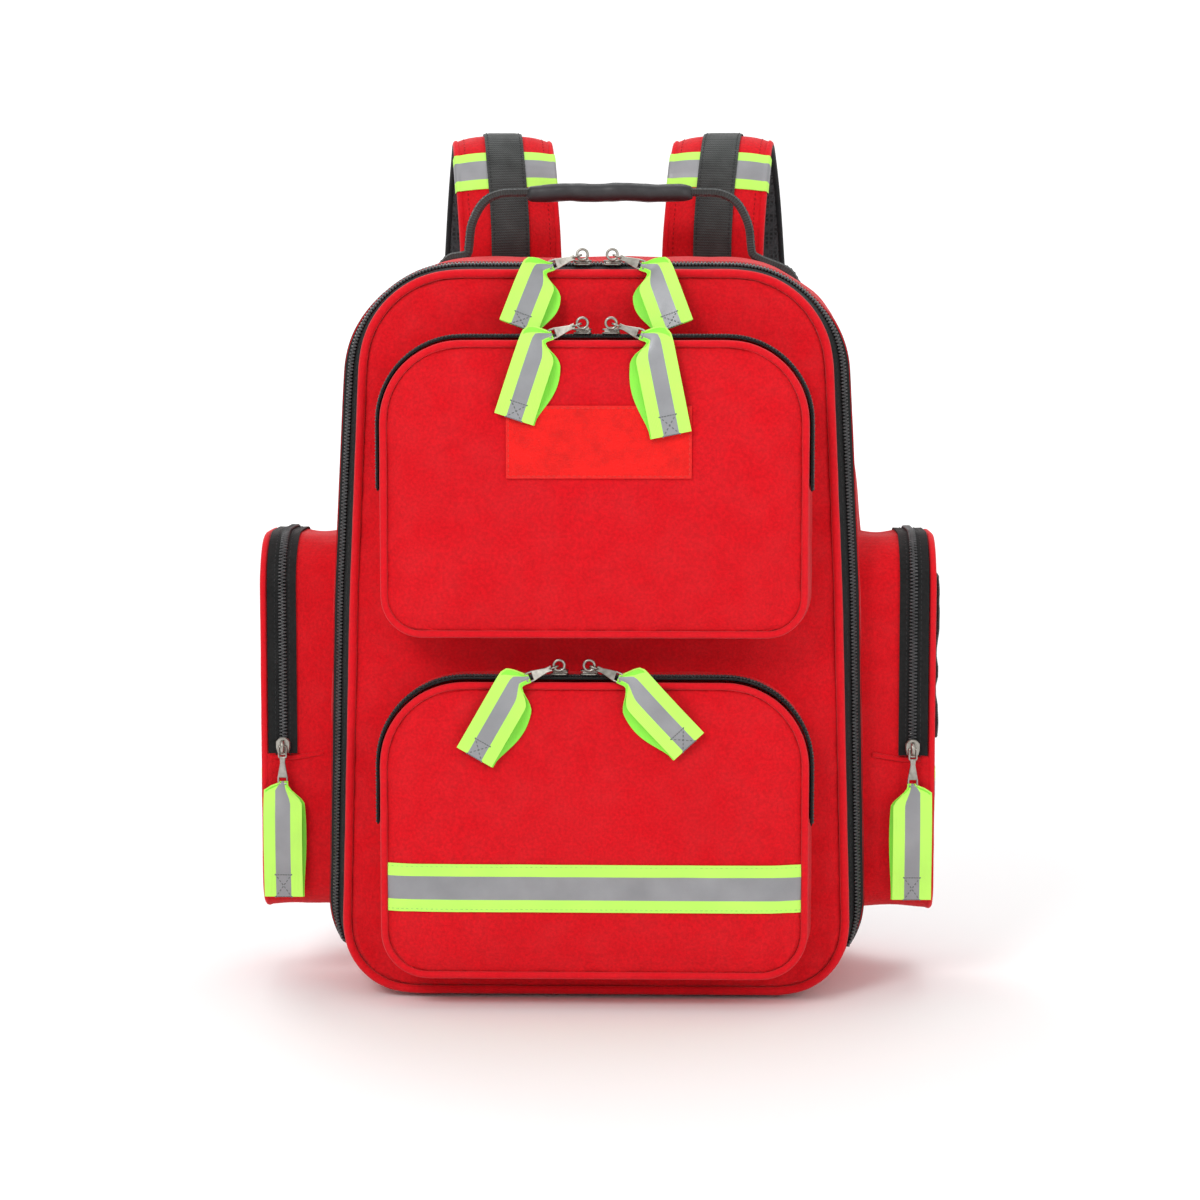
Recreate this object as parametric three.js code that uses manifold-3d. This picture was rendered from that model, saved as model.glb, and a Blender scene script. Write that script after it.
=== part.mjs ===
// Trauma backpack: a clamshell main compartment with two front pockets, two side pockets,
// eight zip sliders with tape pulls, a carry handle and two padded shoulder straps.
// Millimetres, +Z up, the front faces -Y. The origin is the middle of the base panel's underside.

import * as THREE from "three";
import { mergeVertices } from "three/addons/utils/BufferGeometryUtils.js";
import Module from "manifold-3d";

const wasm = await Module();
wasm.setup();

// ---------------------------------------------------------------- driving dimensions

const GAP = 0.3; // clearance between pieces that are sewn face to face

// Main compartment: a padded gusset lofted from a narrow front outline to a wide back outline.
const BODY = {
  frontY: -84,
  backY: 75,
  height: 446,
  backHeight: 452,
  wall: 4.5,
  bulge: 5,
};
const GUSSET_FRONT_Y = -62; // where the gusset stops and the main zip starts
const GUSSET_BACK_Y = 70;

// Door: the padded front panel, hinged on the seam along the base panel's front edge.
const DOOR = { backY: -76, bottom: 2, pipingRadius: 3 };
const ZIP = { gusset: -68.7, door: -69.3, doorFront: -77.6, thickness: 2 };

const UPPER_POCKET = {
  halfWidth: 127,
  bottom: 227,
  top: 403,
  topRadius: 48,
  bottomRadius: 24,
  split: 313,
};
const LOWER_POCKET = {
  halfWidth: 128,
  bottom: 20,
  top: 199,
  topRadius: 50,
  bottomRadius: 28,
  split: 112,
};
const FRONT_POCKET_FRONT_Y = -118;
const FRONT_POCKET_FLARE = 4; // how much wider the pocket is where it meets the door
const POCKET_WALL = 3;
const POCKET_SHEET = 4.5;
const POCKET_ZIP = { width: 13, thickness: 1.4, fromFront: 6 };

const SIDE_POCKET = {
  halfWidth: 48,
  bottom: 47,
  top: 282,
  topRadius: 32,
  bottomRadius: 20,
  split: 145,
};
const SIDE_POCKET_OUTER_X = 209;
const SIDE_ZIP = { width: 17, thickness: 1.4, fromFront: 5 };

const PULL_TAPE_WIDTH = 24;
const HANDLE = { x: 6, y: 30, halfSpan: 90, pivotZ: 462, rise: 34, gripHalf: 53, width: 14 };
const STRAP = { width: 62, thickness: 12, shift: 6 }; // both straps sit a little to the right

// ---------------------------------------------------------------- materials

function fabric(colour, roughness = 0.85) {
  return new THREE.MeshStandardMaterial({ color: colour, roughness, metalness: 0 });
}
const RED = fabric(0xd8141f);
const RED_EDGE = fabric(0xc01019);
const BLACK_TAPE = fabric(0x17181a);
const BLACK_MESH = fabric(0x101112);
const WEBBING = fabric(0x26292b);
const LIME = fabric(0xbdf77c, 0.6);
const REFLECTIVE = fabric(0x9a9ea2, 0.4);
const LOOP_PILE = fabric(0xf01c14, 0.95);
const PADDING = fabric(0x2b2d30);
const PLASTIC = new THREE.MeshStandardMaterial({ color: 0x141416, roughness: 0.45, metalness: 0 });
const METAL = new THREE.MeshStandardMaterial({ color: 0xb9bcc0, roughness: 0.25, metalness: 1 });

// ---------------------------------------------------------------- outlines

// A closed outline in X and Z with each corner rounded. A corner is [x, z, radius, steps].
// The points run anticlockwise as seen from the front, starting at the first corner's arc.
function roundedOutline(corners) {
  const points = [];
  corners.forEach(([x, z, radius, steps], i) => {
    const corner = new THREE.Vector2(x, z);
    if (!radius) {
      points.push(corner);
      return;
    }
    const [px, pz] = corners[(i + corners.length - 1) % corners.length];
    const [nx, nz] = corners[(i + 1) % corners.length];
    const toPrevious = new THREE.Vector2(px, pz).sub(corner).normalize();
    const toNext = new THREE.Vector2(nx, nz).sub(corner).normalize();
    const half = Math.acos(toPrevious.dot(toNext)) / 2;
    const middle = toPrevious.clone().add(toNext).normalize();
    const centre = middle.multiplyScalar(radius / Math.sin(half)).add(corner);
    const tangent = radius / Math.tan(half);
    const first = toPrevious.multiplyScalar(tangent).add(corner).sub(centre);
    const turn = Math.PI - 2 * half;
    for (let k = 0; k <= steps; k++) {
      const spoke = first.clone().rotateAround(new THREE.Vector2(), (turn * k) / steps);
      points.push(spoke.add(centre));
    }
  });
  return points;
}

// The outline moved outwards along its own normals by a distance, or inwards if it is negative.
function offset(points, distance) {
  return points.map((point, i) => {
    const before = points[(i + points.length - 1) % points.length];
    const after = points[(i + 1) % points.length];
    const along = after.clone().sub(before).normalize();
    return new THREE.Vector2(along.y, -along.x).multiplyScalar(distance).add(point);
  });
}

function ring(points, y) {
  return points.map((p) => new THREE.Vector3(p.x, y, p.y));
}

function lerpPoints(a, b, t) {
  return a.map((point, i) => point.clone().lerp(b[i], t));
}

const CORNER_STEPS = { base: 5, side: 2, top: 7 };

// The main compartment's outline, as bottom-left, bottom-right, right, top-right, top-left, left.
function bodyCorners(bottom, side, top, bottomRadius, topRadius) {
  const [bottomHalf, bottomZ] = bottom;
  const [sideHalf, sideZ] = side;
  const [topHalf, topZ] = top;
  return [
    [-bottomHalf, bottomZ, bottomRadius, CORNER_STEPS.base],
    [bottomHalf, bottomZ, bottomRadius, CORNER_STEPS.base],
    [sideHalf, sideZ, 400, CORNER_STEPS.side],
    [topHalf, topZ, topRadius, CORNER_STEPS.top],
    [-topHalf, topZ, topRadius, CORNER_STEPS.top],
    [-sideHalf, sideZ, 400, CORNER_STEPS.side],
  ];
}
const SIDE_HEIGHT = 250;
const FRONT_OUTLINE = roundedOutline(
  bodyCorners([157, 0], [150, SIDE_HEIGHT], [141, BODY.height], 42, 60),
);
const BACK_OUTLINE = roundedOutline(
  bodyCorners([165, 0], [172, SIDE_HEIGHT], [150, BODY.backHeight], 60, 75),
);
const DOOR_OUTLINE = roundedOutline(
  bodyCorners([157, DOOR.bottom], [150, SIDE_HEIGHT], [141, BODY.height], 42, 60),
);

// Where the arcs start and end in those outlines.
const BASE_END = 2 * (CORNER_STEPS.base + 1) - 1;
const TOP_START = BASE_END + CORNER_STEPS.side + 2;
const TOP_END = TOP_START + 2 * (CORNER_STEPS.top + 1) - 1;
const OUTLINE_COUNT = FRONT_OUTLINE.length;

// The gusset's outline at a depth: between the two outlines, and bulged a little between them,
// except along the base, which stays flat.
function bodyOutline(y) {
  const t = (y - BODY.frontY) / (BODY.backY - BODY.frontY);
  const plain = lerpPoints(FRONT_OUTLINE, BACK_OUTLINE, t);
  const swell = BODY.bulge * Math.sin(Math.PI * THREE.MathUtils.clamp(t, 0, 1));
  const swollen = offset(plain, swell);
  return plain.map((point, i) => {
    const share = THREE.MathUtils.smoothstep(point.y, 0, 60);
    return point.clone().lerp(swollen[i], share);
  });
}

// Half the gusset's width at a depth and height, on its straight sides.
function bodyHalfWidth(y, z) {
  const side = bodyOutline(y).slice(BASE_END, TOP_START + 1);
  for (let i = 0; i + 1 < side.length; i++) {
    const [low, high] = [side[i], side[i + 1]];
    if (z <= high.y || i + 2 === side.length) {
      return THREE.MathUtils.mapLinear(z, low.y, high.y, low.x, high.x);
    }
  }
  return side[0].x;
}

// ---------------------------------------------------------------- solids

function geometryFrom(vertices, triangles) {
  const geometry = new THREE.BufferGeometry();
  const positions = vertices.flatMap((v) => [v.x, v.y, v.z]);
  geometry.setAttribute("position", new THREE.Float32BufferAttribute(positions, 3));
  geometry.setIndex(triangles.flat());
  return faceOut(geometry);
}

// Turns every triangle round if the surface encloses a negative volume.
function faceOut(geometry) {
  const p = geometry.getAttribute("position");
  const index = geometry.getIndex();
  const [a, b, c] = [new THREE.Vector3(), new THREE.Vector3(), new THREE.Vector3()];
  let volume = 0;
  for (let i = 0; i < index.count; i += 3) {
    a.fromBufferAttribute(p, index.getX(i));
    b.fromBufferAttribute(p, index.getX(i + 1));
    c.fromBufferAttribute(p, index.getX(i + 2));
    volume += a.dot(b.cross(c));
  }
  if (volume < 0) {
    for (let i = 0; i < index.count; i += 3) {
      const second = index.getX(i + 1);
      index.setX(i + 1, index.getX(i + 2));
      index.setX(i + 2, second);
    }
  }
  return geometry;
}

// The triangles of a flat cap over one ring, whose first vertex has the given number.
function cap(points, start, flip) {
  const normal = new THREE.Vector3();
  const centre = new THREE.Vector3();
  points.forEach((p, i) => {
    normal.add(p.clone().cross(points[(i + 1) % points.length]));
    centre.addScaledVector(p, 1 / points.length);
  });
  const u = points[0].clone().sub(centre).normalize();
  const v = normal.normalize().cross(u).normalize();
  const flat = points.map((p) => {
    const q = p.clone().sub(centre);
    return new THREE.Vector2(q.dot(u), q.dot(v));
  });
  const faces = THREE.ShapeUtils.triangulateShape(flat, []);
  return faces.map(([a, b, c]) => (flip ? [a, c, b] : [a, b, c]).map((k) => start + k));
}

// A solid through rings of equally many points. Open rings are capped at both ends; with closed
// set, the last ring joins the first and the solid is a hollow frame.
function loft(rings, closed = false) {
  const n = rings[0].length;
  const vertices = rings.flat();
  const triangles = [];
  const spans = closed ? rings.length : rings.length - 1;
  for (let r = 0; r < spans; r++) {
    const here = r * n;
    const there = ((r + 1) % rings.length) * n;
    for (let i = 0; i < n; i++) {
      const j = (i + 1) % n;
      triangles.push([here + i, here + j, there + j], [here + i, there + j, there + i]);
    }
  }
  if (!closed) {
    triangles.push(...cap(rings[0], 0, true));
    triangles.push(...cap(rings.at(-1), (rings.length - 1) * n, false));
  }
  return geometryFrom(vertices, triangles);
}

// A flat plate in X and Y, with an optional hole, standing up from Z = 0.
function plate(outer, thickness, hole = null) {
  const contour = outer.map(([x, y]) => new THREE.Vector2(x, y));
  if (THREE.ShapeUtils.isClockWise(contour)) contour.reverse();
  const shape = new THREE.Shape(contour);
  if (hole) shape.holes.push(new THREE.Path(hole.map(([x, y]) => new THREE.Vector2(x, y))));
  return new THREE.ExtrudeGeometry(shape, { depth: thickness, bevelEnabled: false });
}

function slab(points, nearY, farY) {
  return loft([ring(points, nearY), ring(points, farY)]);
}

// A strip of shell that runs along the outline from one point to another. Stations are
// [outline, y] pairs from front to back, and the ends are pulled in by half the sewing gap.
function shellStrip(stations, wall, from, to, gap = GAP / 2) {
  const rings = [];
  for (let i = from; i <= to; i++) {
    const outer = stations.map(([points, y]) => [points[i % points.length], y]);
    const inner = stations.map(([points, y]) => [offset(points, -wall)[i % points.length], y]);
    rings.push([...outer, ...inner.reverse()].map(([p, y]) => new THREE.Vector3(p.x, y, p.y)));
  }
  const pullIn = (end, next) => {
    const share = gap / end[0].distanceTo(next[0]);
    return end.map((p, k) => p.clone().lerp(next[k], share));
  };
  const [first, last] = [pullIn(rings[0], rings[1]), pullIn(rings.at(-1), rings.at(-2))];
  return loft([first, ...rings.slice(1, -1), last]);
}

// A flat strap swept along a smooth curve, its width held as near as it can be to one direction.
function strapSweep(points, width, thickness, steps, across) {
  const curve = new THREE.CatmullRomCurve3(points.map((p) => new THREE.Vector3(...p)));
  const rings = [];
  for (let k = 0; k <= steps; k++) {
    const centre = curve.getPointAt(k / steps);
    const tangent = curve.getTangentAt(k / steps);
    const side = across.clone().addScaledVector(tangent, -across.dot(tangent)).normalize();
    const normal = tangent.clone().cross(side);
    const corner = (a, b) =>
      centre.clone().addScaledVector(side, (a * width) / 2).addScaledVector(normal, (b * thickness) / 2);
    rings.push([corner(-1, -1), corner(1, -1), corner(1, 1), corner(-1, 1)]);
  }
  return loft(rings);
}

// ---------------------------------------------------------------- boolean cuts and joins

function toSolid(geometry) {
  const bare = new THREE.BufferGeometry();
  bare.setAttribute("position", geometry.getAttribute("position"));
  if (geometry.getIndex()) bare.setIndex(geometry.getIndex());
  const merged = mergeVertices(bare, 1e-4);
  const vertProperties = new Float32Array(merged.getAttribute("position").array);
  const triVerts = new Uint32Array(merged.getIndex().array);
  const surface = new wasm.Mesh({ numProp: 3, vertProperties, triVerts });
  surface.merge();
  return new wasm.Manifold(surface);
}

function fromSolid(solid) {
  const made = solid.getMesh();
  const geometry = new THREE.BufferGeometry();
  const positions = new THREE.BufferAttribute(new Float32Array(made.vertProperties), 3);
  geometry.setAttribute("position", positions);
  geometry.setIndex(new THREE.BufferAttribute(new Uint32Array(made.triVerts), 1));
  return geometry;
}

function join(...geometries) {
  return fromSolid(geometries.map(toSolid).reduce((all, next) => all.add(next)));
}

function cut(geometry, ...tools) {
  return fromSolid(tools.map(toSolid).reduce((left, tool) => left.subtract(tool), toSolid(geometry)));
}

function boxBetween(low, high) {
  const size = high.map((h, k) => h - low[k]);
  const box = new THREE.BoxGeometry(...size);
  return box.translate(...low.map((l, k) => l + size[k] / 2));
}

function mesh(name, geometry, material) {
  const made = new THREE.Mesh(geometry, material);
  made.name = name;
  return made;
}

function group(...children) {
  const made = new THREE.Group();
  made.add(...children);
  return made;
}

// ---------------------------------------------------------------- main compartment

function gussetPanels() {
  const stations = (frontY) =>
    [frontY, -20, 25, GUSSET_BACK_Y].map((y) => [bodyOutline(y), y]);
  const panel = (name, frontY, from, to) =>
    mesh(name, shellStrip(stations(frontY), BODY.wall, from, to), RED);
  return [
    panel("base_panel", DOOR.backY + GAP, 0, BASE_END),
    panel("right_side_panel", GUSSET_FRONT_Y, BASE_END, TOP_START),
    panel("top_panel", GUSSET_FRONT_Y, TOP_START, TOP_END),
    panel("left_side_panel", GUSSET_FRONT_Y, TOP_END, OUTLINE_COUNT),
  ];
}

function backPanel() {
  const outline = bodyOutline(BODY.backY);
  return mesh("back_panel", slab(outline, GUSSET_BACK_Y + GAP, BODY.backY), RED);
}

// A plastic sheet that keeps the back panel flat against the wearer.
function backStiffener() {
  const outline = offset(bodyOutline(GUSSET_BACK_Y), -14);
  return mesh("back_stiffener_sheet", slab(outline, 67.5, GUSSET_BACK_Y), PLASTIC);
}

// Air-mesh padding on the wearer's side: two columns joined by a lumbar bar.
function backPad() {
  const outline = roundedOutline([
    [-104, 34, 26, 4],
    [104, 34, 26, 4],
    [112, 412, 26, 4],
    [24, 412, 12, 2],
    [16, 130, 16, 3],
    [-16, 130, 16, 3],
    [-24, 412, 12, 2],
    [-112, 412, 26, 4],
  ]);
  return mesh("back_pad", slab(outline, BODY.backY + GAP, 86), BLACK_MESH);
}

// A padded shelf that splits the compartment and lifts out.
function divider() {
  const z = 222;
  const thickness = 6;
  const clear = BODY.wall + 0.8;
  const [front, back] = [-58, 64];
  const plan = [
    [-bodyHalfWidth(front, z) + clear, front],
    [bodyHalfWidth(front, z) - clear, front],
    [bodyHalfWidth(back, z) - clear, back],
    [-bodyHalfWidth(back, z) + clear, back],
  ];
  const level = (height) => plan.map(([x, y]) => new THREE.Vector3(x, y, height));
  return mesh("padded_divider", loft([level(z), level(z + thickness)]), PADDING);
}

// One half of the main zip: tape and coil as a band on the compartment's outline, from just above
// the base on one side, over the top, to the other side.
function mainZipHalf(name, frontY, backY, inset) {
  const stations = [frontY, backY].map((y) => [offset(bodyOutline(y), -inset), y]);
  return mesh(name, shellStrip(stations, ZIP.thickness, BASE_END, OUTLINE_COUNT, 2), BLACK_TAPE);
}

// ---------------------------------------------------------------- door

function doorPanel() {
  const inset = -(2 * DOOR.pipingRadius + GAP);
  return mesh("front_panel", slab(offset(DOOR_OUTLINE, inset), BODY.frontY, DOOR.backY), RED);
}

function doorPiping() {
  const r = DOOR.pipingRadius;
  const sides = 6;
  const rings = Array.from({ length: sides }, (_, k) => {
    const a = (2 * Math.PI * k) / sides;
    return ring(offset(DOOR_OUTLINE, -r + r * Math.cos(a)), BODY.frontY + r + r * Math.sin(a));
  });
  return mesh("front_panel_piping", loft(rings, true), RED_EDGE);
}

// ---------------------------------------------------------------- pockets

function pocketCorners(pocket, grow, low = pocket.bottom - grow, high = pocket.top + grow) {
  const half = pocket.halfWidth + grow;
  const bottom = low === pocket.bottom - grow ? pocket.bottomRadius : 0;
  const top = high === pocket.top + grow ? pocket.topRadius : 0;
  return [
    [-half, low, bottom, 5],
    [half, low, bottom, 5],
    [half, high, top, 6],
    [-half, high, top, 6],
  ];
}

// A pocket facing -Y: a gusset from its base to its front sheet, whose lower part is sewn to it.
// The base follows baseY(x, z), so that the pocket sits on a curved panel.
function pocketBody(name, pocket, frontY, flare, baseY) {
  const front = roundedOutline(pocketCorners(pocket, 0));
  const base = roundedOutline(pocketCorners(pocket, flare));
  const inner = (points) => offset(points, -POCKET_WALL);
  const onBase = (points) => points.map((p) => new THREE.Vector3(p.x, baseY(p.x, p.y), p.y));
  const gusset = loft(
    [onBase(base), ring(front, frontY), ring(inner(front), frontY), onBase(inner(base))],
    true,
  );
  const sheet = slab(offset(front, -POCKET_WALL / 2), frontY, frontY + POCKET_SHEET);
  const reach = pocket.halfWidth + 40;
  const mouth = boxBetween(
    [-reach, frontY - 20, pocket.split - GAP],
    [reach, frontY + POCKET_SHEET + GAP, pocket.top + 40],
  );
  return mesh(name, cut(join(gusset, sheet), mouth), RED);
}

// The part of the front sheet above the zip's ends, which folds down.
function pocketFlap(name, pocket, frontY) {
  const outline = roundedOutline(pocketCorners(pocket, 0, pocket.split + GAP));
  return mesh(name, slab(outline, frontY, frontY + POCKET_SHEET), RED);
}

// Tape and coil on the outside of the gusset, from the split on one side to the other.
function pocketZip(name, pocket, frontY, flare, baseY, zip) {
  const depth = Math.abs(frontY - baseY(pocket.halfWidth, pocket.top));
  const nearY = frontY + zip.fromFront;
  const stations = [nearY, nearY + zip.width].map((y) => {
    const grow = (flare * (y - frontY)) / depth + GAP + 0.1 + zip.thickness;
    return [roundedOutline(pocketCorners(pocket, grow, pocket.split)), y];
  });
  return mesh(name, shellStrip(stations, zip.thickness, 1, stations[0][0].length, 0.2), BLACK_TAPE);
}

function frontPocketBase() {
  return BODY.frontY - GAP;
}

// ---------------------------------------------------------------- zip sliders and their pulls

const SLIDER = { length: 11, width: 8.5, height: 3.2 };
const EYE = { radius: 3.2, wire: 0.8 };
const LINK = { radius: 2.4, wire: 0.7 };
const TAB = { length: 17, width: 6.5, neck: 3.6, thickness: 1.3, slot: 3.6 };

function sliderPlate() {
  const [l, w] = [SLIDER.length / 2, SLIDER.width / 2];
  const plan = [
    [-l, -w * 0.6],
    [-l * 0.2, -w],
    [l * 0.6, -w],
    [l, -w * 0.5],
    [l, w * 0.5],
    [l * 0.6, w],
    [-l * 0.2, w],
    [-l, w * 0.6],
  ];
  return plate(plan, SLIDER.height);
}

// The tab hangs down from its link: its upper end is at the origin.
function tabPlate() {
  const [w, n, l] = [TAB.width / 2, TAB.neck / 2, TAB.length];
  const plan = [
    [-n, 0.6],
    [n, 0.6],
    [w, -l * 0.8],
    [w, -l],
    [-w, -l],
    [-w, -l * 0.8],
  ];
  const slot = [
    [1 - w, -l + 1.2],
    [1 - w, -l + 1.2 + TAB.slot],
    [w - 1, -l + 1.2 + TAB.slot],
    [w - 1, -l + 1.2],
  ];
  const flat = plate(plan, TAB.thickness, slot);
  return flat.translate(0, 0, -TAB.thickness / 2).rotateX(Math.PI / 2);
}

// A pull tape folded into a flat loop: its upper end is at the origin, and it hangs down.
function tapeLoop(length) {
  const belly = 3.6;
  const thick = 1;
  const side = (half, top, end, tip) => [
    [0.6 * half, top],
    [half, -length * 0.35],
    [0.6 * half, -length * 0.75],
    [tip, end],
  ];
  const bothSides = (points) => [...points, ...points.map(([y, z]) => [-y, z]).reverse()];
  const outer = bothSides(side(belly, 0, -length, 1.2));
  const inner = bothSides(side(belly - thick, -thick, -length * 0.86, 0.3));
  const band = plate(outer, PULL_TAPE_WIDTH, inner);
  return band.translate(0, 0, -PULL_TAPE_WIDTH / 2).rotateY(Math.PI / 2).rotateX(Math.PI / 2);
}

const LINK_ANGLE = THREE.MathUtils.degToRad(70); // where the link hangs on the eye, from straight down

// A slider on a zip that runs along X over the top of a panel. Its eye is upright and faces the
// front. The tab lies outwards along the zip from the eye's outer rim, and its tape hangs from it.
// outward is -1 on the left of the pair and 1 on the right.
function topSlider(prefix, x, y, z, outward, loopLength, loopTilt, loopSplay) {
  const eyeY = -(SLIDER.width / 2 + LINK.radius + LINK.wire + 0.1);
  const eyeZ = SLIDER.height + EYE.radius;
  const eye = new THREE.TorusGeometry(EYE.radius, EYE.wire, 5, 12).rotateX(Math.PI / 2);
  const stem = boxBetween([-1, eyeY - EYE.wire, 0], [1, -SLIDER.width / 2 + 0.5, SLIDER.height + 0.7]);
  const slider = join(sliderPlate(), stem, eye.translate(0, eyeY, eyeZ));
  const sliderMesh = mesh(`${prefix}_slider`, slider, METAL);
  sliderMesh.position.set(x, y, z);

  const rim = new THREE.Vector3(outward * Math.sin(LINK_ANGLE), 0, -Math.cos(LINK_ANGLE));
  const link = new THREE.TorusGeometry(LINK.radius, LINK.wire, 5, 10).rotateY(Math.PI / 2);
  link.rotateY(-outward * LINK_ANGLE);
  link.translate(...rim.clone().multiplyScalar(EYE.radius).toArray());
  const tabTilt = THREE.MathUtils.degToRad(25);
  const tabStart = rim.clone().multiplyScalar(EYE.radius + LINK.radius);
  const tabDown = new THREE.Vector3(0, 0, -1);
  const tabTurn = new THREE.Euler(-tabTilt, outward * -LINK_ANGLE, 0, "YXZ");
  const tab = tabPlate().applyMatrix4(new THREE.Matrix4().makeRotationFromEuler(tabTurn));
  tab.translate(...tabStart.toArray());
  const tabMesh = mesh(`${prefix}_pull_tab`, join(link, tab), METAL);
  tabMesh.position.set(x, y + eyeY, z + eyeZ);

  const tabEnd = tabDown.applyEuler(tabTurn).multiplyScalar(TAB.length + 5.6).add(tabStart);
  const tape = mesh(`${prefix}_pull_tape`, tapeLoop(loopLength), LIME);
  const turn = new THREE.Euler(-loopTilt, outward * -loopSplay, 0, "YXZ");
  tape.rotation.copy(turn);
  tape.position.copy(tabEnd).add(tabMesh.position);
  return group(sliderMesh, tabMesh, tape);
}

// A slider on a zip that runs up the front wall of a side pocket. Its tab hangs straight down and
// its eye bar passes under the slider's bridge.
function sideSlider(prefix, x, y, z) {
  const plate = sliderPlate().rotateZ(Math.PI / 2).rotateX(Math.PI / 2);
  const bridge = cut(
    boxBetween([-1, -7.6, -4], [1, -SLIDER.height + 0.3, 4]),
    boxBetween([-2, -6.2, -2.6], [2, -SLIDER.height - 0.1, 2.6]),
  );
  const slider = mesh(`${prefix}_slider`, join(plate, bridge), METAL);
  slider.position.set(x, y, z);

  const bar = 0.6;
  const arm = 1.2;
  const frame = cut(
    boxBetween([-2.9, -bar, -7], [2.9, bar, bar]),
    boxBetween([-2.9 + arm, -2, -6], [2.9 - arm, 2, -bar]),
  );
  const plateDown = tabPlate().translate(0, 0, -6.6);
  const tab = mesh(`${prefix}_pull_tab`, join(frame, plateDown), METAL);
  const pivotY = y - SLIDER.height - 1.5;
  tab.position.set(x, pivotY, z);

  const tape = mesh(`${prefix}_pull_tape`, tapeLoop(70), LIME);
  tape.position.set(x, pivotY, z - 6.6 - TAB.length - 0.6);
  return group(slider, tab, tape);
}

// ---------------------------------------------------------------- handle and shoulder straps

function handlePath() {
  const { x: middle, y, halfSpan, pivotZ, rise } = HANDLE;
  const half = [
    [halfSpan, 0],
    [halfSpan - 4, 0.5],
    [halfSpan - 17, 0.93],
    [halfSpan - 34, 1],
  ];
  const points = [...half.map(([x, share]) => [-x, share]), [0, 1], ...half.reverse()];
  return points.map(([x, share]) => [middle + x, y, pivotZ + rise * share]);
}

// Webbing with round feet, which turn in the top seam, and a moulded grip around its middle.
function carryHandle() {
  const { x: middle, y, halfSpan, pivotZ, rise, gripHalf, width } = HANDLE;
  const arch = strapSweep(handlePath(), width, 4, 28, new THREE.Vector3(0, 1, 0));
  const foot = (x) => {
    const disc = new THREE.CylinderGeometry(width / 2, width / 2, 4, 16);
    return mergeVertices(disc, 1e-3).rotateZ(Math.PI / 2).translate(x, y, pivotZ);
  };
  const webbing = join(faceOut(arch), foot(middle - halfSpan), foot(middle + halfSpan));

  const gripZ = pivotZ + rise;
  const stations = [
    [-gripHalf, -1.5],
    [-gripHalf * 0.6, 0.4],
    [gripHalf * 0.6, 0.4],
    [gripHalf, -1.5],
  ];
  const rings = stations.map(([x, grow]) => {
    const [w, h, r] = [10 + grow, 5.6 + grow, 4.6 + grow];
    const section = roundedOutline([[-w, -h, r, 3], [w, -h, r, 3], [w, h, r, 3], [-w, h, r, 3]]);
    return section.map((p) => new THREE.Vector3(middle + x, y + p.x, gripZ + p.y));
  });
  const bore = boxBetween(
    [middle - gripHalf - 5, y - width / 2 - GAP, gripZ - 2.8],
    [middle + gripHalf + 5, y + width / 2 + GAP, gripZ + 2.9],
  );
  return group(
    mesh("handle_webbing", webbing, WEBBING),
    mesh("handle_grip", cut(loft(rings), bore), PLASTIC),
  );
}

// The right-hand strap's route: up from the seam, over the shoulder, and down to its ladder lock.
const STRAP_ROUTE = [
  [66, 82, 453],
  [67, 83, 476],
  [70, 92, 510],
  [73, 112, 530],
  [76, 138, 523],
  [80, 158, 493],
  [84, 168, 440],
  [88, 168, 380],
  [93, 161, 310],
  [100, 147, 240],
  [106, 131, 186],
];
const LADDER_LOCK = { x: 109.5, y: 121, z: 158, tilt: -0.29, halfWidth: 18, halfLength: 13 };
const WEBBING_ROUTE = [
  [111.5, 116.2, 142],
  [120, 104, 105],
  [130, 89, 66],
  [137, 79, 36],
];

function ladderLock(name, side) {
  const { x, y, z, tilt, halfWidth, halfLength } = LADDER_LOCK;
  const plate = boxBetween([-halfWidth, -2.2, -halfLength], [halfWidth, 2.2, halfLength]);
  const slot = (low, high) => boxBetween([-13.5, -5, low], [13.5, 5, high]);
  const made = mesh(name, cut(plate, slot(4, 9.5), slot(-1.5, 1.5), slot(-9.5, -4)), PLASTIC);
  made.position.set(side * x + STRAP.shift, y, z);
  made.rotation.x = tilt;
  return made;
}

function shoulderStrap(prefix, side) {
  const across = new THREE.Vector3(1, 0, 0);
  const onSide = (points) => points.map(([x, y, z]) => [side * x + STRAP.shift, y, z]);
  const pad = strapSweep(onSide(STRAP_ROUTE), STRAP.width, STRAP.thickness, 26, across);
  const webbing = strapSweep(onSide(WEBBING_ROUTE), 25, 1.6, 8, across);
  return group(
    mesh(`${prefix}_shoulder_strap`, faceOut(pad), RED),
    ladderLock(`${prefix}_ladder_lock`, side),
    mesh(`${prefix}_lower_webbing`, faceOut(webbing), WEBBING),
  );
}

// ---------------------------------------------------------------- the whole bag

function mainCompartment() {
  return group(
    backPanel(),
    ...gussetPanels(),
    backStiffener(),
    backPad(),
    divider(),
    mainZipHalf("main_zip_body_half", ZIP.gusset, GUSSET_FRONT_Y - GAP, 0.4),
  );
}

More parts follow.
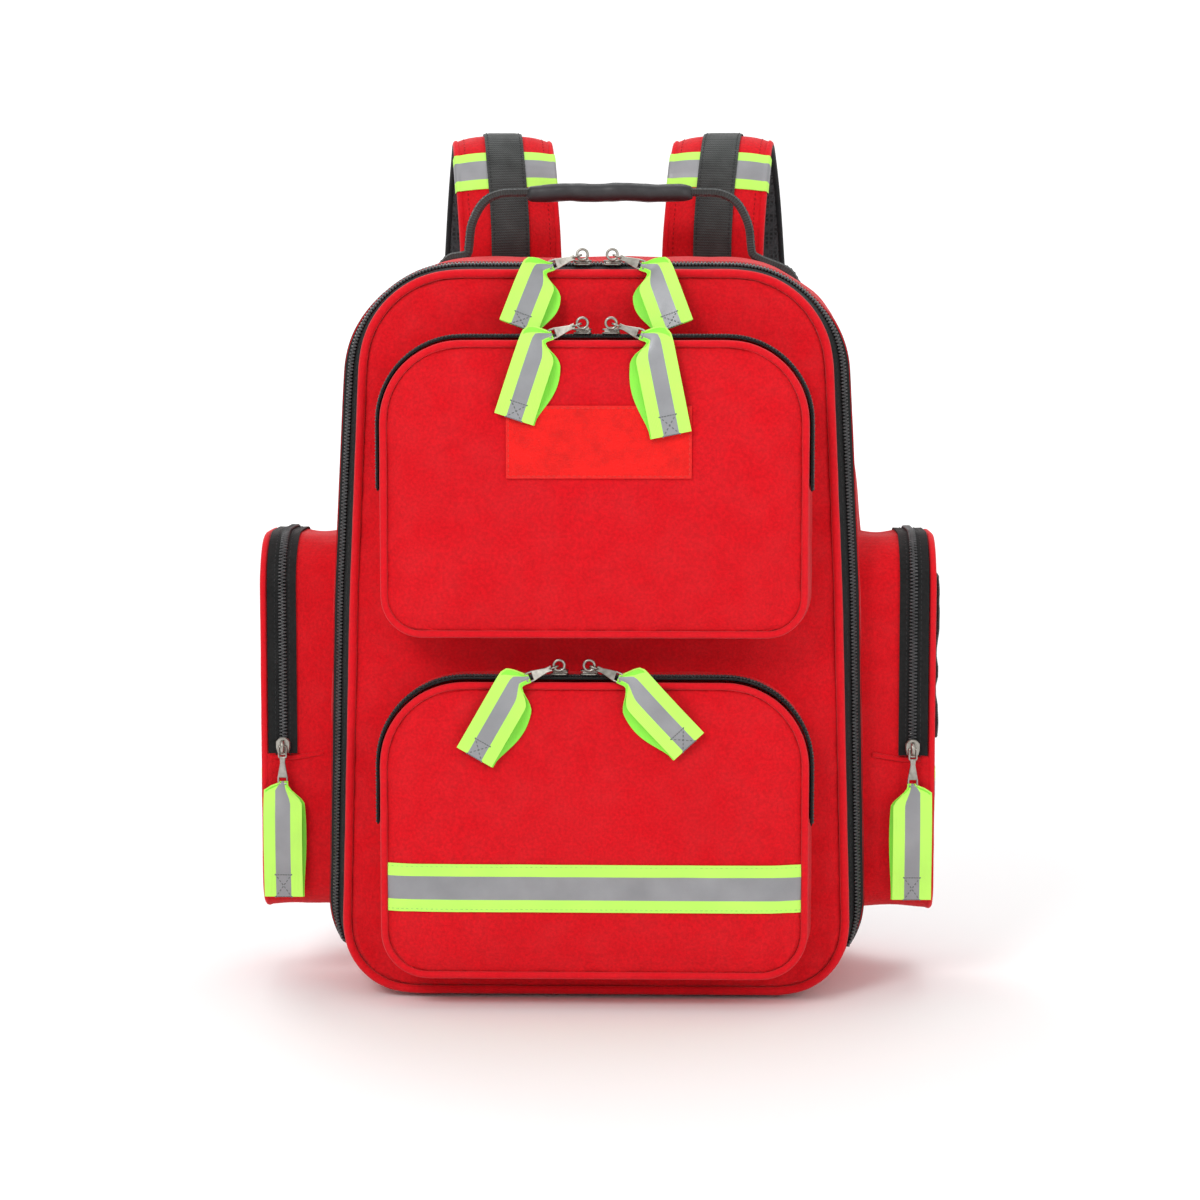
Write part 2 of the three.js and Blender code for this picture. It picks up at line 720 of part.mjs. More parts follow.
function door() {
  const nameBadge = boxBetween([-52, -119.6, 322], [58, -118.3, 365]);
  const band = boxBetween([-124, -119.4, 61], [124, -118.3, 90]);
  const pocketBase = frontPocketBase;
  const pocketAt = (prefix, pocket) => [
    pocketBody(`${prefix}_pocket_body`, pocket, FRONT_POCKET_FRONT_Y, FRONT_POCKET_FLARE, pocketBase),
    pocketFlap(`${prefix}_pocket_flap`, pocket, FRONT_POCKET_FRONT_Y),
    pocketZip(
      `${prefix}_pocket_zip`,
      pocket,
      FRONT_POCKET_FRONT_Y,
      FRONT_POCKET_FLARE,
      pocketBase,
      POCKET_ZIP,
    ),
  ];
  return group(
    doorPanel(),
    doorPiping(),
    mainZipHalf("main_zip_door_half", ZIP.doorFront, ZIP.door, 0.4),
    ...pocketAt("upper", UPPER_POCKET),
    ...pocketAt("lower", LOWER_POCKET),
    mesh("name_badge_patch", nameBadge, LOOP_PILE),
    mesh("reflective_band", band, REFLECTIVE),
  );
}

// A side pocket is a front pocket turned to face outwards, on a base that follows the gusset.
function sidePocket(prefix, side) {
  const baseY = (x, z) => -(bodyHalfWidth(side * x, z) + 1.2);
  const parts = [
    pocketBody(`${prefix}_side_pocket_body`, SIDE_POCKET, -SIDE_POCKET_OUTER_X, 0, baseY),
    pocketFlap(`${prefix}_side_pocket_flap`, SIDE_POCKET, -SIDE_POCKET_OUTER_X),
    pocketZip(`${prefix}_side_pocket_zip`, SIDE_POCKET, -SIDE_POCKET_OUTER_X, 0, baseY, SIDE_ZIP),
  ];
  const made = group(...parts);
  made.rotation.z = (side * Math.PI) / 2;
  return made;
}

function cardHolder() {
  const x = SIDE_POCKET_OUTER_X;
  const plate = boxBetween([x + 0.3, -36, 156], [x + 3.3, 36, 256]);
  return mesh("card_holder", plate, BLACK_MESH);
}

// Every slider: the pair that meets at the top of the door, the pair on each front pocket, and
// one on each side pocket.
function sliders() {
  const pocketSliderY = FRONT_POCKET_FRONT_Y + POCKET_ZIP.fromFront + POCKET_ZIP.width / 2 - 1;
  const pocketPair = (prefix, pocket, leftX, rightX, left, right) => [
    topSlider(`${prefix}_left`, leftX, pocketSliderY, pocket.top + 4.2, -1, ...left),
    topSlider(`${prefix}_right`, rightX, pocketSliderY, pocket.top + 4.2, 1, ...right),
  ];
  const sideX = SIDE_POCKET_OUTER_X - SIDE_ZIP.fromFront - SIDE_ZIP.width / 2;
  const sideY = -(SIDE_POCKET.halfWidth + SIDE_ZIP.thickness + GAP + 0.6);
  return [
    topSlider("main_left", -8, -73.5, BODY.height + 2.2, -1, 40, 0.42, 0.36),
    topSlider("main_right", 10, -73.5, BODY.height + 2.2, 1, 40, 0.42, 0.36),
    ...pocketPair("upper", UPPER_POCKET, -7, 10, [50, 0.03, 0.32], [58, 0.03, 0.2]),
    ...pocketPair("lower", LOWER_POCKET, -21, -3, [52, 0.03, 0.52], [52, 0.03, 0.75]),
    sideSlider("left_side", -sideX, sideY, 151),
    sideSlider("right_side", sideX, sideY, 151),
  ];
}

const backpack = group(
  mainCompartment(),
  door(),
  sidePocket("left", -1),
  sidePocket("right", 1),
  cardHolder(),
  ...sliders(),
  carryHandle(),
  shoulderStrap("left", -1),
  shoulderStrap("right", 1),
);

export default backpack;
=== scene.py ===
"""The looks of a trauma backpack: sewn panels, zips, webbing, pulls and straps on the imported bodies."""

import math

import bpy
import numpy as np
from mathutils import Matrix, Vector
from mathutils.bvhtree import BVHTree


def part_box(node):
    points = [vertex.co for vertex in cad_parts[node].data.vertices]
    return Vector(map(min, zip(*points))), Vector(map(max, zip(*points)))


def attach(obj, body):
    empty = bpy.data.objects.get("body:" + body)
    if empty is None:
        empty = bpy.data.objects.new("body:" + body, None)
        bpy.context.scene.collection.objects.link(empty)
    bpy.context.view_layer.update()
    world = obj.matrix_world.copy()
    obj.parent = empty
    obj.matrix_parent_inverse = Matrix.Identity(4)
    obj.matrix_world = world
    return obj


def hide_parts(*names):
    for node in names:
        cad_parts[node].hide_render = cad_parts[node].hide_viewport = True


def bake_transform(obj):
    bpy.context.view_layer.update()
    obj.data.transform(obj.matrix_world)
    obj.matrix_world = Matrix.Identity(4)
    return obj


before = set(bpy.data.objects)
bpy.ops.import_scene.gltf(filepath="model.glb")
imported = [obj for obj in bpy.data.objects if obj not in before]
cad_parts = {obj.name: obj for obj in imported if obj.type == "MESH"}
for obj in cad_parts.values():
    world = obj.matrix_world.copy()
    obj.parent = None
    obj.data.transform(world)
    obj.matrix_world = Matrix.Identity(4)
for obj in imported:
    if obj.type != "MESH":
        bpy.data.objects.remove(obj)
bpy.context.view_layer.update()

MM = 0.001

# ---------------------------------------------------------------- sizes not in the frame

PIPING_RADIUS = 2.2 * MM
MAIN_PIPING_RADIUS = 2.6 * MM
THREAD = 0.35 * MM
BULGE = 5 * MM  # how far the gusset swells between its seams
FRONT_POCKET_FLARE = 4 * MM
RIM = 5.6 * MM  # from a pocket's front edge to its zip
TAPE_WIDTH = 24 * MM
WEBBING_WIDTH = 25 * MM
TOOTH_PITCH = 2.1 * MM
MAIN_ZIP_HALF = 6.6 * MM
BASE_SEAM_TOP = 31 * MM  # where the main zip's ends meet the seam that the door folds on
STRAP_SHIFT = 6 * MM  # the straps and the handle sit this far right of the middle
ROLL = 2.2 * MM  # how far a padded face rises out of the crease along its piping


# ================================================================ geometry helpers


def unit(v):
    """Vectors along the last axis, scaled to length 1."""
    v = np.asarray(v, float)
    return v / np.maximum(np.linalg.norm(v, axis=-1, keepdims=True), 1e-12)


def smoothstep(x, low, high):
    """0 up to low and 1 from high, or the other way round where high is less than low."""
    t = np.clip((np.asarray(x, float) - low) / (high - low), 0, 1)
    return t * t * (3 - 2 * t)


def ripple(points, wavelength, seed, waves=7):
    """Smooth noise from -1 to 1: a few sine waves in directions of their own."""
    rng = np.random.default_rng(seed)
    points = np.asarray(points, float)
    total = np.zeros(points.shape[:-1])
    for _ in range(waves):
        direction = unit(rng.normal(size=3)) * 2 * math.pi / (wavelength * rng.uniform(0.7, 1.5))
        total += np.sin(points @ direction + rng.uniform(0, 2 * math.pi))
    return total / math.sqrt(waves) / 1.5


def spaced(points, spacing, closed=True):
    """A polyline resampled at an even spacing."""
    p = np.asarray(points, float)
    if closed:
        p = np.vstack([p, p[:1]])
    s = np.concatenate([[0], np.cumsum(np.linalg.norm(np.diff(p, axis=0), axis=1))])
    count = max(int(round(s[-1] / spacing)), 6)
    t = np.linspace(0, s[-1], count + 1)
    if closed:
        t = t[:-1]
    return np.stack([np.interp(t, s, p[:, k]) for k in range(p.shape[1])], axis=1)


def relaxed(points, rounds=6):
    """A closed polyline with its facets smoothed away."""
    for _ in range(rounds):
        points = points / 2 + (np.roll(points, 1, axis=0) + np.roll(points, -1, axis=0)) / 4
    return points


def rounded_box(half, bottom, top, bottom_radius, top_radius, spacing=2 * MM):
    """A rounded rectangle in (x, z), anticlockwise seen from the front, from the bottom middle."""
    corners = [
        (half, bottom, bottom_radius, -90),
        (half, top, top_radius, 0),
        (-half, top, top_radius, 90),
        (-half, bottom, bottom_radius, 180),
    ]
    points = [(0, bottom)]
    for x, z, r, start in corners:
        cx = x - math.copysign(r, x)
        cz = z + r if z == bottom else z - r
        for k in range(13):
            a = math.radians(start + 90 * k / 12)
            points.append((cx + r * math.cos(a), cz + r * math.sin(a)))
    return spaced(points, spacing)


def node_vertices(node):
    """A CAD node's vertices."""
    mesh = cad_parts[node].data
    co = np.empty(len(mesh.vertices) * 3)
    mesh.vertices.foreach_get("co", co)
    return co.reshape(-1, 3)


def outline_of(node, y, spacing=2 * MM):
    """The convex outline of a CAD node's flat face at depth y, like rounded_box gives."""
    co = node_vertices(node)
    face = np.unique(np.round(co[np.abs(co[:, 1] - y) < 0.3 * MM][:, [0, 2]], 6), axis=0)
    middle = (face.min(axis=0) + face.max(axis=0)) / 2
    away = face - middle
    angle = np.mod(np.arctan2(away[:, 0], -away[:, 1]), 2 * math.pi)
    return relaxed(spaced(face[np.argsort(angle)], spacing))


def outward(points):
    """The outward normals of a closed outline in (x, z)."""
    along = unit(np.roll(points, -1, axis=0) - np.roll(points, 1, axis=0))
    return np.stack([along[:, 1], -along[:, 0]], axis=1)


def offset(points, distance):
    """An outline moved outwards by a distance, or by one for each point."""
    return points + outward(points) * np.reshape(distance, (-1, 1))


def at_depth(points, y):
    """Points (x, z) as (x, y, z)."""
    return np.stack([points[:, 0], np.broadcast_to(y, len(points)), points[:, 1]], axis=1)


def smooth_curve(points, spacing=4 * MM):
    """A Catmull-Rom curve through points, evenly sampled."""
    p = np.asarray(points, float)
    p = np.vstack([2 * p[0] - p[1], p, 2 * p[-1] - p[-2]])
    out = []
    for a, b, c, d in zip(p, p[1:], p[2:], p[3:]):
        for t in np.linspace(0, 1, 16, endpoint=False):
            curve = (2 * a - 5 * b + 4 * c - d) * t**2 + (3 * b - a - 3 * c + d) * t**3
            out.append(0.5 * (2 * b + (c - a) * t + curve))
    out.append(p[-2])
    return spaced(out, spacing, closed=False)


# ================================================================ mesh helpers


def mesh_object(name, vertices, faces, materials, uv=None, slots=None, sharp=40):
    """A mesh object. uv has one (u, v) for each vertex, slots one material number for each face."""
    mesh = bpy.data.meshes.new(name)
    mesh.from_pydata([tuple(v) for v in np.asarray(vertices, float)], [], [tuple(f) for f in faces])
    obj = bpy.data.objects.new(name, mesh)
    bpy.context.scene.collection.objects.link(obj)
    for material in materials if isinstance(materials, (list, tuple)) else [materials]:
        mesh.materials.append(material)
    if uv is not None:
        layer = mesh.uv_layers.new(name="UVMap")
        corner = np.empty(len(mesh.loops), int)
        mesh.loops.foreach_get("vertex_index", corner)
        layer.data.foreach_set("uv", np.asarray(uv, float)[corner].ravel())
    if slots is not None:
        mesh.polygons.foreach_set("material_index", np.asarray(slots, int))
    finish_shading(mesh, sharp)
    return obj


def finish_shading(mesh, sharp=40):
    """Smooth shading, apart from edges that turn by more than an angle in degrees."""
    mesh.polygons.foreach_set("use_smooth", np.ones(len(mesh.polygons), bool))
    mesh.update()
    mesh.set_sharp_from_angle(angle=math.radians(sharp))


def grid_faces(rows, cols, wrap=False, start=0):
    """Quads between neighbouring rows of a grid of points. With wrap, the last column joins the first."""
    spans = cols if wrap else cols - 1
    r, c = np.meshgrid(np.arange(rows - 1), np.arange(spans), indexing="ij")
    a = start + r * cols + c
    b = start + r * cols + (c + 1) % cols
    return np.stack([a, b, b + cols, a + cols], axis=-1).reshape(-1, 4)


def facing(faces, flip):
    """Faces as they are, or turned over."""
    return faces[:, ::-1] if flip else faces


def modify(obj, kind, **settings):
    modifier = obj.modifiers.new(kind.title(), kind)
    for key, value in settings.items():
        setattr(modifier, key, value)
    return modifier


def settle(obj, sharp=40):
    """Applies every modifier."""
    depsgraph = bpy.context.evaluated_depsgraph_get()
    mesh = bpy.data.meshes.new_from_object(obj.evaluated_get(depsgraph))
    obj.modifiers.clear()
    old, obj.data = obj.data, mesh
    bpy.data.meshes.remove(old)
    finish_shading(mesh, sharp)
    return obj


def thicken(obj, thickness, inwards=True, sharp=40):
    """Gives a sheet its thickness. A second material, if it has one, is its lining."""
    inside = len(obj.data.materials) - 1
    modify(obj, "SOLIDIFY", thickness=thickness, offset=-1 if inwards else 1, material_offset=inside)
    return settle(obj, sharp)


def merge(name, parts):
    """Several objects joined into one."""
    with bpy.context.temp_override(
        active_object=parts[0], object=parts[0], selected_objects=parts, selected_editable_objects=parts
    ):
        bpy.ops.object.join()
    parts[0].name = name
    parts[0].data.name = name
    return parts[0]


def fix(obj, body, stands_for=None):
    """Lets a piece ride on a body, and hides the CAD node that it stands for, if one is given."""
    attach(obj, body)
    if stands_for:
        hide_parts(stands_for)
    return obj


def place(obj, turn):
    """Turns a piece that was built facing the front about Z to where it belongs, in degrees."""
    if turn:
        obj.data.transform(Matrix.Rotation(math.radians(turn), 4, "Z"))
    return obj


class Path:
    """Points along a line with, at each, the direction along it, across it and out of it."""

    def __init__(self, points, out, closed=False):
        self.points = np.asarray(points, float)
        self.closed = closed
        if closed:
            along = np.roll(self.points, -1, axis=0) - np.roll(self.points, 1, axis=0)
        else:
            along = np.gradient(self.points, axis=0)
        self.along = unit(along)
        out = np.broadcast_to(np.asarray(out, float), self.points.shape)
        self.out = unit(out - np.sum(out * self.along, axis=1, keepdims=True) * self.along)
        self.across = np.cross(self.along, self.out)
        step = np.linalg.norm(np.diff(self.points, axis=0), axis=1)
        self.length = np.concatenate([[0], np.cumsum(step)])

    def shifted(self, across=0.0, out=0.0):
        """A path beside this one, with the same directions."""
        made = Path.__new__(Path)
        made.__dict__.update(self.__dict__)
        made.points = self.points + self.across * across + self.out * out
        return made

    def cut(self, keep):
        """The stretch whose points are marked, as an open path."""
        where = np.flatnonzero(keep)
        gap = np.flatnonzero(np.diff(where) > 1)
        if len(gap):
            where = np.concatenate([where[gap[0] + 1 :], where[: gap[0] + 1]])
        made = Path.__new__(Path)
        made.points, made.along, made.out, made.across = (
            a[where] for a in (self.points, self.along, self.out, self.across)
        )
        made.closed = False
        step = np.linalg.norm(np.diff(made.points, axis=0), axis=1)
        made.length = np.concatenate([[0], np.cumsum(step)])
        return made


def sweep(name, path, section, materials, scale=None, slots=None, sharp=40):
    """A closed section swept along a path. Section points are (across, out), clockwise or not.
    scale gives one factor for each path point, or a pair (across, out). slots gives one material
    number for each side of the section, or a table of them with a row for each step of the path."""
    section = np.asarray(section, float)
    count, sides = len(path.points), len(section)
    scale = np.ones((count, 2)) if scale is None else np.asarray(scale, float)
    if scale.ndim == 1:
        scale = np.stack([scale, scale], axis=1)
    a = section[None, :, 0] * scale[:, :1]
    b = section[None, :, 1] * scale[:, 1:]
    points = path.points[:, None] + path.across[:, None] * a[..., None] + path.out[:, None] * b[..., None]
    rows = count
    if path.closed:
        points = np.concatenate([points, points[:1]])
        rows += 1
    length = path.length
    if path.closed:
        length = np.append(length, length[-1] + np.linalg.norm(path.points[0] - path.points[-1]))
    uv = np.stack(np.broadcast_arrays(section[None, :, 0], length[:, None]), axis=-1)
    faces = grid_faces(rows, sides, wrap=True)
    face_slots = None if slots is None else list(np.broadcast_to(slots, (rows - 1, sides)).ravel())
    faces = [list(f) for f in faces]
    if not path.closed:
        faces.append(list(range(sides))[::-1])
        faces.append(list(range((rows - 1) * sides, rows * sides)))
        if face_slots is not None:
            face_slots += [face_slots[0], face_slots[-1]]
    area = np.sum(section[:, 0] * np.roll(section[:, 1], -1) - np.roll(section[:, 0], -1) * section[:, 1])
    if area < 0:
        faces = [f[::-1] for f in faces]
    return mesh_object(name, points.reshape(-1, 3), faces, materials, uv.reshape(-1, 2), face_slots, sharp)


def round_section(radius, sides=8):
    a = np.arange(sides) * 2 * math.pi / sides
    return np.stack([radius * np.cos(a), radius * np.sin(a)], axis=1)


def flat_section(width, thickness, columns=6, edge=0.35):
    """A strap's section with softly rounded edges, as (across, out)."""
    x = np.linspace(-width / 2, width / 2, columns + 1)
    half = np.full(columns + 1, thickness / 2)
    half[[0, -1]] *= edge
    return np.concatenate([np.stack([x, half], axis=1), np.stack([x[::-1], -half[::-1]], axis=1)])


def stitches(name, path, body, material, pitch=3.2 * MM, radius=THREAD):
    """A line of thread stitches on the out side of a path."""
    share, sink = 0.68, 0.1 * MM
    line = spaced(path.points, pitch, closed=path.closed)
    nearest = np.argmin(np.linalg.norm(line[:, None] - path.points[None], axis=2), axis=1)
    along, out, across = path.along[nearest], path.out[nearest], path.across[nearest]
    corners = [(x, y, 0.3) for x in (-0.34, 0.34) for y in (0.8, -0.8)]
    shape = np.array([(-0.5, 0, -0.4), *corners, (0.5, 0, -0.4), (0, 0, 1.25)])
    faces = [(0, 2, 1), (5, 3, 4), (1, 2, 6), (3, 6, 4), (1, 6, 3), (2, 4, 6), (0, 1, 3, 5), (0, 5, 4, 2)]
    centres = line - out * sink
    points = (
        centres[:, None]
        + along[:, None] * (shape[None, :, :1] * pitch * share)
        + across[:, None] * (shape[None, :, 1:2] * radius)
        + out[:, None] * (shape[None, :, 2:] * radius)
    )
    numbers = np.arange(len(line))[:, None] * len(shape)
    all_faces = [tuple(int(n) + k for k in f) for n in numbers[:, 0] for f in faces]
    obj = mesh_object(name, points.reshape(-1, 3), all_faces, material, sharp=80)
    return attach(obj, body) if body else obj


# ================================================================ materials


def linear(r, g, b):
    """An sRGB colour from 0 to 255 as a linear one."""
    c = np.array([r, g, b]) / 255
    return tuple(np.where(c <= 0.04045, c / 12.92, ((c + 0.055) / 1.055) ** 2.4)) + (1.0,)


class Shader:
    """A material's node tree, with a short call for each node."""

    def __init__(self, name):
        self.material = bpy.data.materials.new(name)
        self.material.use_nodes = True
        self.tree = self.material.node_tree
        self.principled = self.tree.nodes["Principled BSDF"]
        self.coordinates = self.tree.nodes.new("ShaderNodeTexCoord")

    def node(self, kind, inputs=None, **settings):
        made = self.tree.nodes.new("ShaderNode" + kind)
        for key, value in settings.items():
            setattr(made, key, value)
        for key, value in (inputs or {}).items():
            self.feed(made.inputs[key], value)
        return made

    def feed(self, socket, value):
        if isinstance(value, bpy.types.NodeSocket):
            self.tree.links.new(value, socket)
        else:
            socket.default_value = value

    def math(self, operation, *values):
        return self.node("Math", dict(enumerate(values)), operation=operation).outputs[0]

    def noise(self, scale, detail=2.0, roughness=0.5):
        inputs = {"Vector": self.coordinates.outputs["Object"], "Scale": scale, "Detail": detail}
        return self.node("TexNoise", inputs | {"Roughness": roughness}).outputs["Fac"]

    def span(self, value, low, high):
        """A value that is mostly between 0.3 and 0.7, such as noise, as one from low to high."""
        inputs = {"Value": value, "From Min": 0.3, "From Max": 0.7, "To Min": low, "To Max": high}
        return self.node("MapRange", inputs).outputs[0]

    def waves(self, where, pitches):
        """The sum of sine waves along the axes, whose pitches are in metres. None leaves one out."""
        axes = self.node("SeparateXYZ", {0: self.coordinates.outputs[where]}).outputs
        total = None
        for axis, pitch in zip(axes, pitches):
            if pitch is None:
                continue
            wave = self.math("SINE", self.math("MULTIPLY", axis, 2 * math.pi / pitch))
            total = wave if total is None else self.math("ADD", total, wave)
        return total

    def mix(self, a, b, factor):
        made = self.node("Mix", data_type="RGBA")
        self.feed(made.inputs["Factor"], factor)
        self.feed(made.inputs["A"], a)
        self.feed(made.inputs["B"], b)
        return made.outputs["Result"]

    def bump(self, height, strength, distance):
        inputs = {"Height": height, "Strength": strength, "Distance": distance}
        self.feed(self.principled.inputs["Normal"], self.node("Bump", inputs).outputs["Normal"])

    def set(self, **values):
        for key, value in values.items():
            self.feed(self.principled.inputs[key.replace("_", " ")], value)


def shaded(colour, factor):
    """A colour made lighter or darker by a factor."""
    return tuple(min(c * factor, 1.0) for c in colour[:3]) + (1.0,)


def cloth(name, colour, pitch=0.8 * MM, sheen=0.1, depth=0.25 * MM, variation=0.16):
    """Woven polyester: a fine weave, a mottled dye and soft broad shade changes."""
    s = Shader(name)
    weave = s.waves("Object", (pitch, pitch, pitch))
    grain = s.noise(1500, 2)
    height = s.math("ADD", s.math("MULTIPLY", weave, 0.22), grain)
    s.bump(height, 0.6, depth)
    dark, light = shaded(colour, 1 - variation), shaded(colour, 1 + variation * 0.5)
    broad = s.mix(dark, light, s.span(s.noise(14, 3), 0.35, 0.65))
    darkest = shaded(colour, 1 - 2.2 * variation)
    speck = s.mix(broad, darkest, s.span(s.noise(560, 2), 0.0, 0.7))
    s.set(Base_Color=speck, Roughness=s.span(s.noise(60, 2), 0.72, 0.92))
    s.set(Sheen_Weight=sheen, Sheen_Roughness=0.45, Specular_IOR_Level=0.22)
    return s.material


def webbing(name, colour):
    """Strap webbing: cross ribs and lengthwise yarns, on (across, along) coordinates in metres."""
    s = Shader(name)
    rib, yarn_pitch, sheen = 1.6 * MM, 1.4 * MM, 0.1
    axes = s.node("SeparateXYZ", {0: s.coordinates.outputs["UV"]}).outputs
    yarn = s.math("SINE", s.math("MULTIPLY", axes[0], 2 * math.pi / yarn_pitch))
    slant = s.math("MULTIPLY", yarn, 0.9)
    ribs = s.math("SINE", s.math("ADD", s.math("MULTIPLY", axes[1], 2 * math.pi / rib), slant))
    height = s.math("ADD", s.math("MULTIPLY", ribs, 0.5), s.math("MULTIPLY", s.noise(1300, 2), 0.8))
    s.bump(height, 0.6, 0.5 * MM)
    tone = s.span(s.math("MULTIPLY_ADD", ribs, 0.15, s.noise(40, 3)), 0.0, 1.0)
    s.set(Base_Color=s.mix(shaded(colour, 0.6), shaded(colour, 1.5), tone))
    s.set(Roughness=s.span(s.noise(90, 2), 0.6, 0.85), Sheen_Weight=sheen)
    return s.material


def bright_tape(name, colour, glow):
    """Fluorescent ribbon with fine cross ribs, and a painted glow: its emission makes it shine by itself."""
    s = Shader(name)
    ribs = s.waves("UV", (0.9 * MM, 0.7 * MM, None))
    s.bump(s.math("ADD", s.math("MULTIPLY", ribs, 0.3), s.noise(900, 2)), 0.35, 0.2 * MM)
    tone = s.span(s.noise(35, 3), 0.1, 0.9)
    s.set(Base_Color=s.mix(shaded(colour, 0.86), colour, tone))
    s.set(Roughness=s.span(s.noise(70, 2), 0.5, 0.75))
    # painted glow: the tape emits its own colour, standing in for how bright the fluorescent dye looks under
    # light
    s.set(Emission_Color=colour, Emission_Strength=glow)
    return s.material


def silver_tape(name):
    """Retroreflective film: grey, faintly beaded, with a soft metallic gleam."""
    s = Shader(name)
    cells = s.node("TexVoronoi", {"Vector": s.coordinates.outputs["Object"], "Scale": 1400.0}).outputs[0]
    s.bump(s.math("ADD", cells, s.math("MULTIPLY", s.noise(120, 3), 0.8)), 0.25, 0.15 * MM)
    tone = s.span(s.noise(45, 4), 0.0, 1.0)
    s.set(Base_Color=s.mix(linear(136, 137, 140), linear(150, 151, 154), tone))
    s.set(Roughness=s.span(s.noise(80, 2), 0.38, 0.55), Metallic=0.35)
    return s.material


def nickel(name):
    """Plated zinc with fine rubbing marks."""
    s = Shader(name)
    marks = s.noise(700, 4, 0.7)
    s.bump(marks, 0.12, 0.1 * MM)
    tone = s.span(s.noise(260, 3), 0, 1)
    s.set(Base_Color=s.mix(linear(138, 134, 126), linear(178, 174, 166), tone))
    s.set(Metallic=1.0, Roughness=s.span(marks, 0.27, 0.43))
    return s.material


def plastic(name, colour, roughness=0.42, grain=0.35):
    """Moulded plastic with a spark-eroded grain."""
    s = Shader(name)
    s.bump(s.noise(2200, 3, 0.6), grain, 0.15 * MM)
    tone = s.span(s.noise(120, 3), 0, 1)
    s.set(Base_Color=s.mix(shaded(colour, 0.75), shaded(colour, 1.35), tone))
    s.set(Roughness=s.span(s.noise(300, 2), roughness - 0.06, roughness + 0.12))
    return s.material


def air_mesh(name, colour):
    """Spacer mesh: rows of small open cells, with painted shade that darkens the middle of each cell where it
    opens into the mesh's depth.
    """
    s = Shader(name)
    inputs = {"Vector": s.coordinates.outputs["Object"], "Scale": 330.0, "Randomness": 0.25}
    cells = s.node("TexVoronoi", inputs, feature="DISTANCE_TO_EDGE").outputs[0]
    inputs = {"Value": cells, "From Min": 0.05, "From Max": 0.32, "To Min": 1.0, "To Max": 0.0}
    wall = s.node("MapRange", inputs).outputs[0]
    s.bump(s.math("ADD", wall, s.math("MULTIPLY", s.noise(1400, 2), 0.3)), 0.8, 0.7 * MM)
    # painted shade: the colour runs from dark in the holes' middles to the yarn's lighter tone on the walls
    # between them
    s.set(Base_Color=s.mix(shaded(colour, 0.25), shaded(colour, 1.5), wall))
    s.set(Roughness=s.span(s.noise(90, 2), 0.75, 0.95), Sheen_Weight=0.15)
    return s.material


def pile(name, colour):
    """Hook-and-loop pile: a dense nap of tiny loops."""
    s = Shader(name)
    nap = s.math("ADD", s.noise(1100, 4, 0.75), s.math("MULTIPLY", s.noise(260, 2), 0.6))
    s.bump(nap, 1.0, 0.9 * MM)
    tone = s.span(s.noise(75, 5, 0.7), 0.0, 1.0)
    s.set(Base_Color=s.mix(shaded(colour, 0.74), shaded(colour, 1.1), tone))
    s.set(Roughness=0.95, Sheen_Weight=0.5, Sheen_Roughness=0.3)
    return s.material


def clear_film(name):
    """The clear vinyl of a card window, a little wavy."""
    s = Shader(name)
    s.bump(s.noise(30, 2), 0.15, 1 * MM)
    s.set(Base_Color=(0.8, 0.82, 0.82, 1.0), Alpha=0.3)
    s.set(Roughness=s.span(s.noise(50, 2), 0.12, 0.25))
    return s.material


RED = cloth("red_oxford", linear(216, 5, 22))
RED_PIPING = cloth("red_piping", linear(218, 8, 26), pitch=0.7 * MM, variation=0.1)
RED_THREAD = cloth("red_thread", linear(170, 6, 18), pitch=0.3 * MM)
LINING = cloth("grey_lining", linear(70, 72, 76), pitch=0.6 * MM, sheen=0.1)
BLACK_CLOTH = cloth("black_binding", linear(30, 31, 33), pitch=0.7 * MM, sheen=0.15)
ZIP_TAPE = cloth("zip_tape", linear(30, 31, 31), pitch=0.6 * MM, sheen=0.08, variation=0.3)
COIL = plastic("zip_coil", linear(62, 62, 63), roughness=0.36, grain=0.1)
BLACK_THREAD = cloth("black_thread", linear(48, 49, 50), pitch=0.3 * MM)
BLACK_WEBBING = webbing("black_webbing", linear(42, 45, 44))
MESH = air_mesh("black_air_mesh", linear(40, 40, 42))
# the lime tapes carry a painted glow from their emission
LIME = bright_tape("lime_tape", linear(186, 246, 96), glow=0.05)
LIME_INNER = bright_tape("lime_tape_back", linear(142, 238, 66), glow=0.04)
SILVER = silver_tape("silver_tape")
GREY_THREAD = cloth("grey_thread", linear(120, 124, 124), pitch=0.3 * MM)
LIME_THREAD = cloth("lime_thread", linear(180, 240, 120), pitch=0.3 * MM)
NICKEL = nickel("nickel")
BLACK_PLASTIC = plastic("black_plastic", linear(26, 26, 27))
GRIP_RUBBER = plastic("grip_rubber", linear(34, 35, 37), roughness=0.45, grain=0.6)
LOOP_PILE = pile("loop_pile", linear(248, 14, 8))
PATCH_EDGE = cloth("patch_edge", linear(232, 36, 34), pitch=0.6 * MM, variation=0.12)
PATCH_THREAD = cloth("patch_thread", linear(238, 60, 52), pitch=0.3 * MM)
FILM = clear_film("clear_film")


# ================================================================ stage


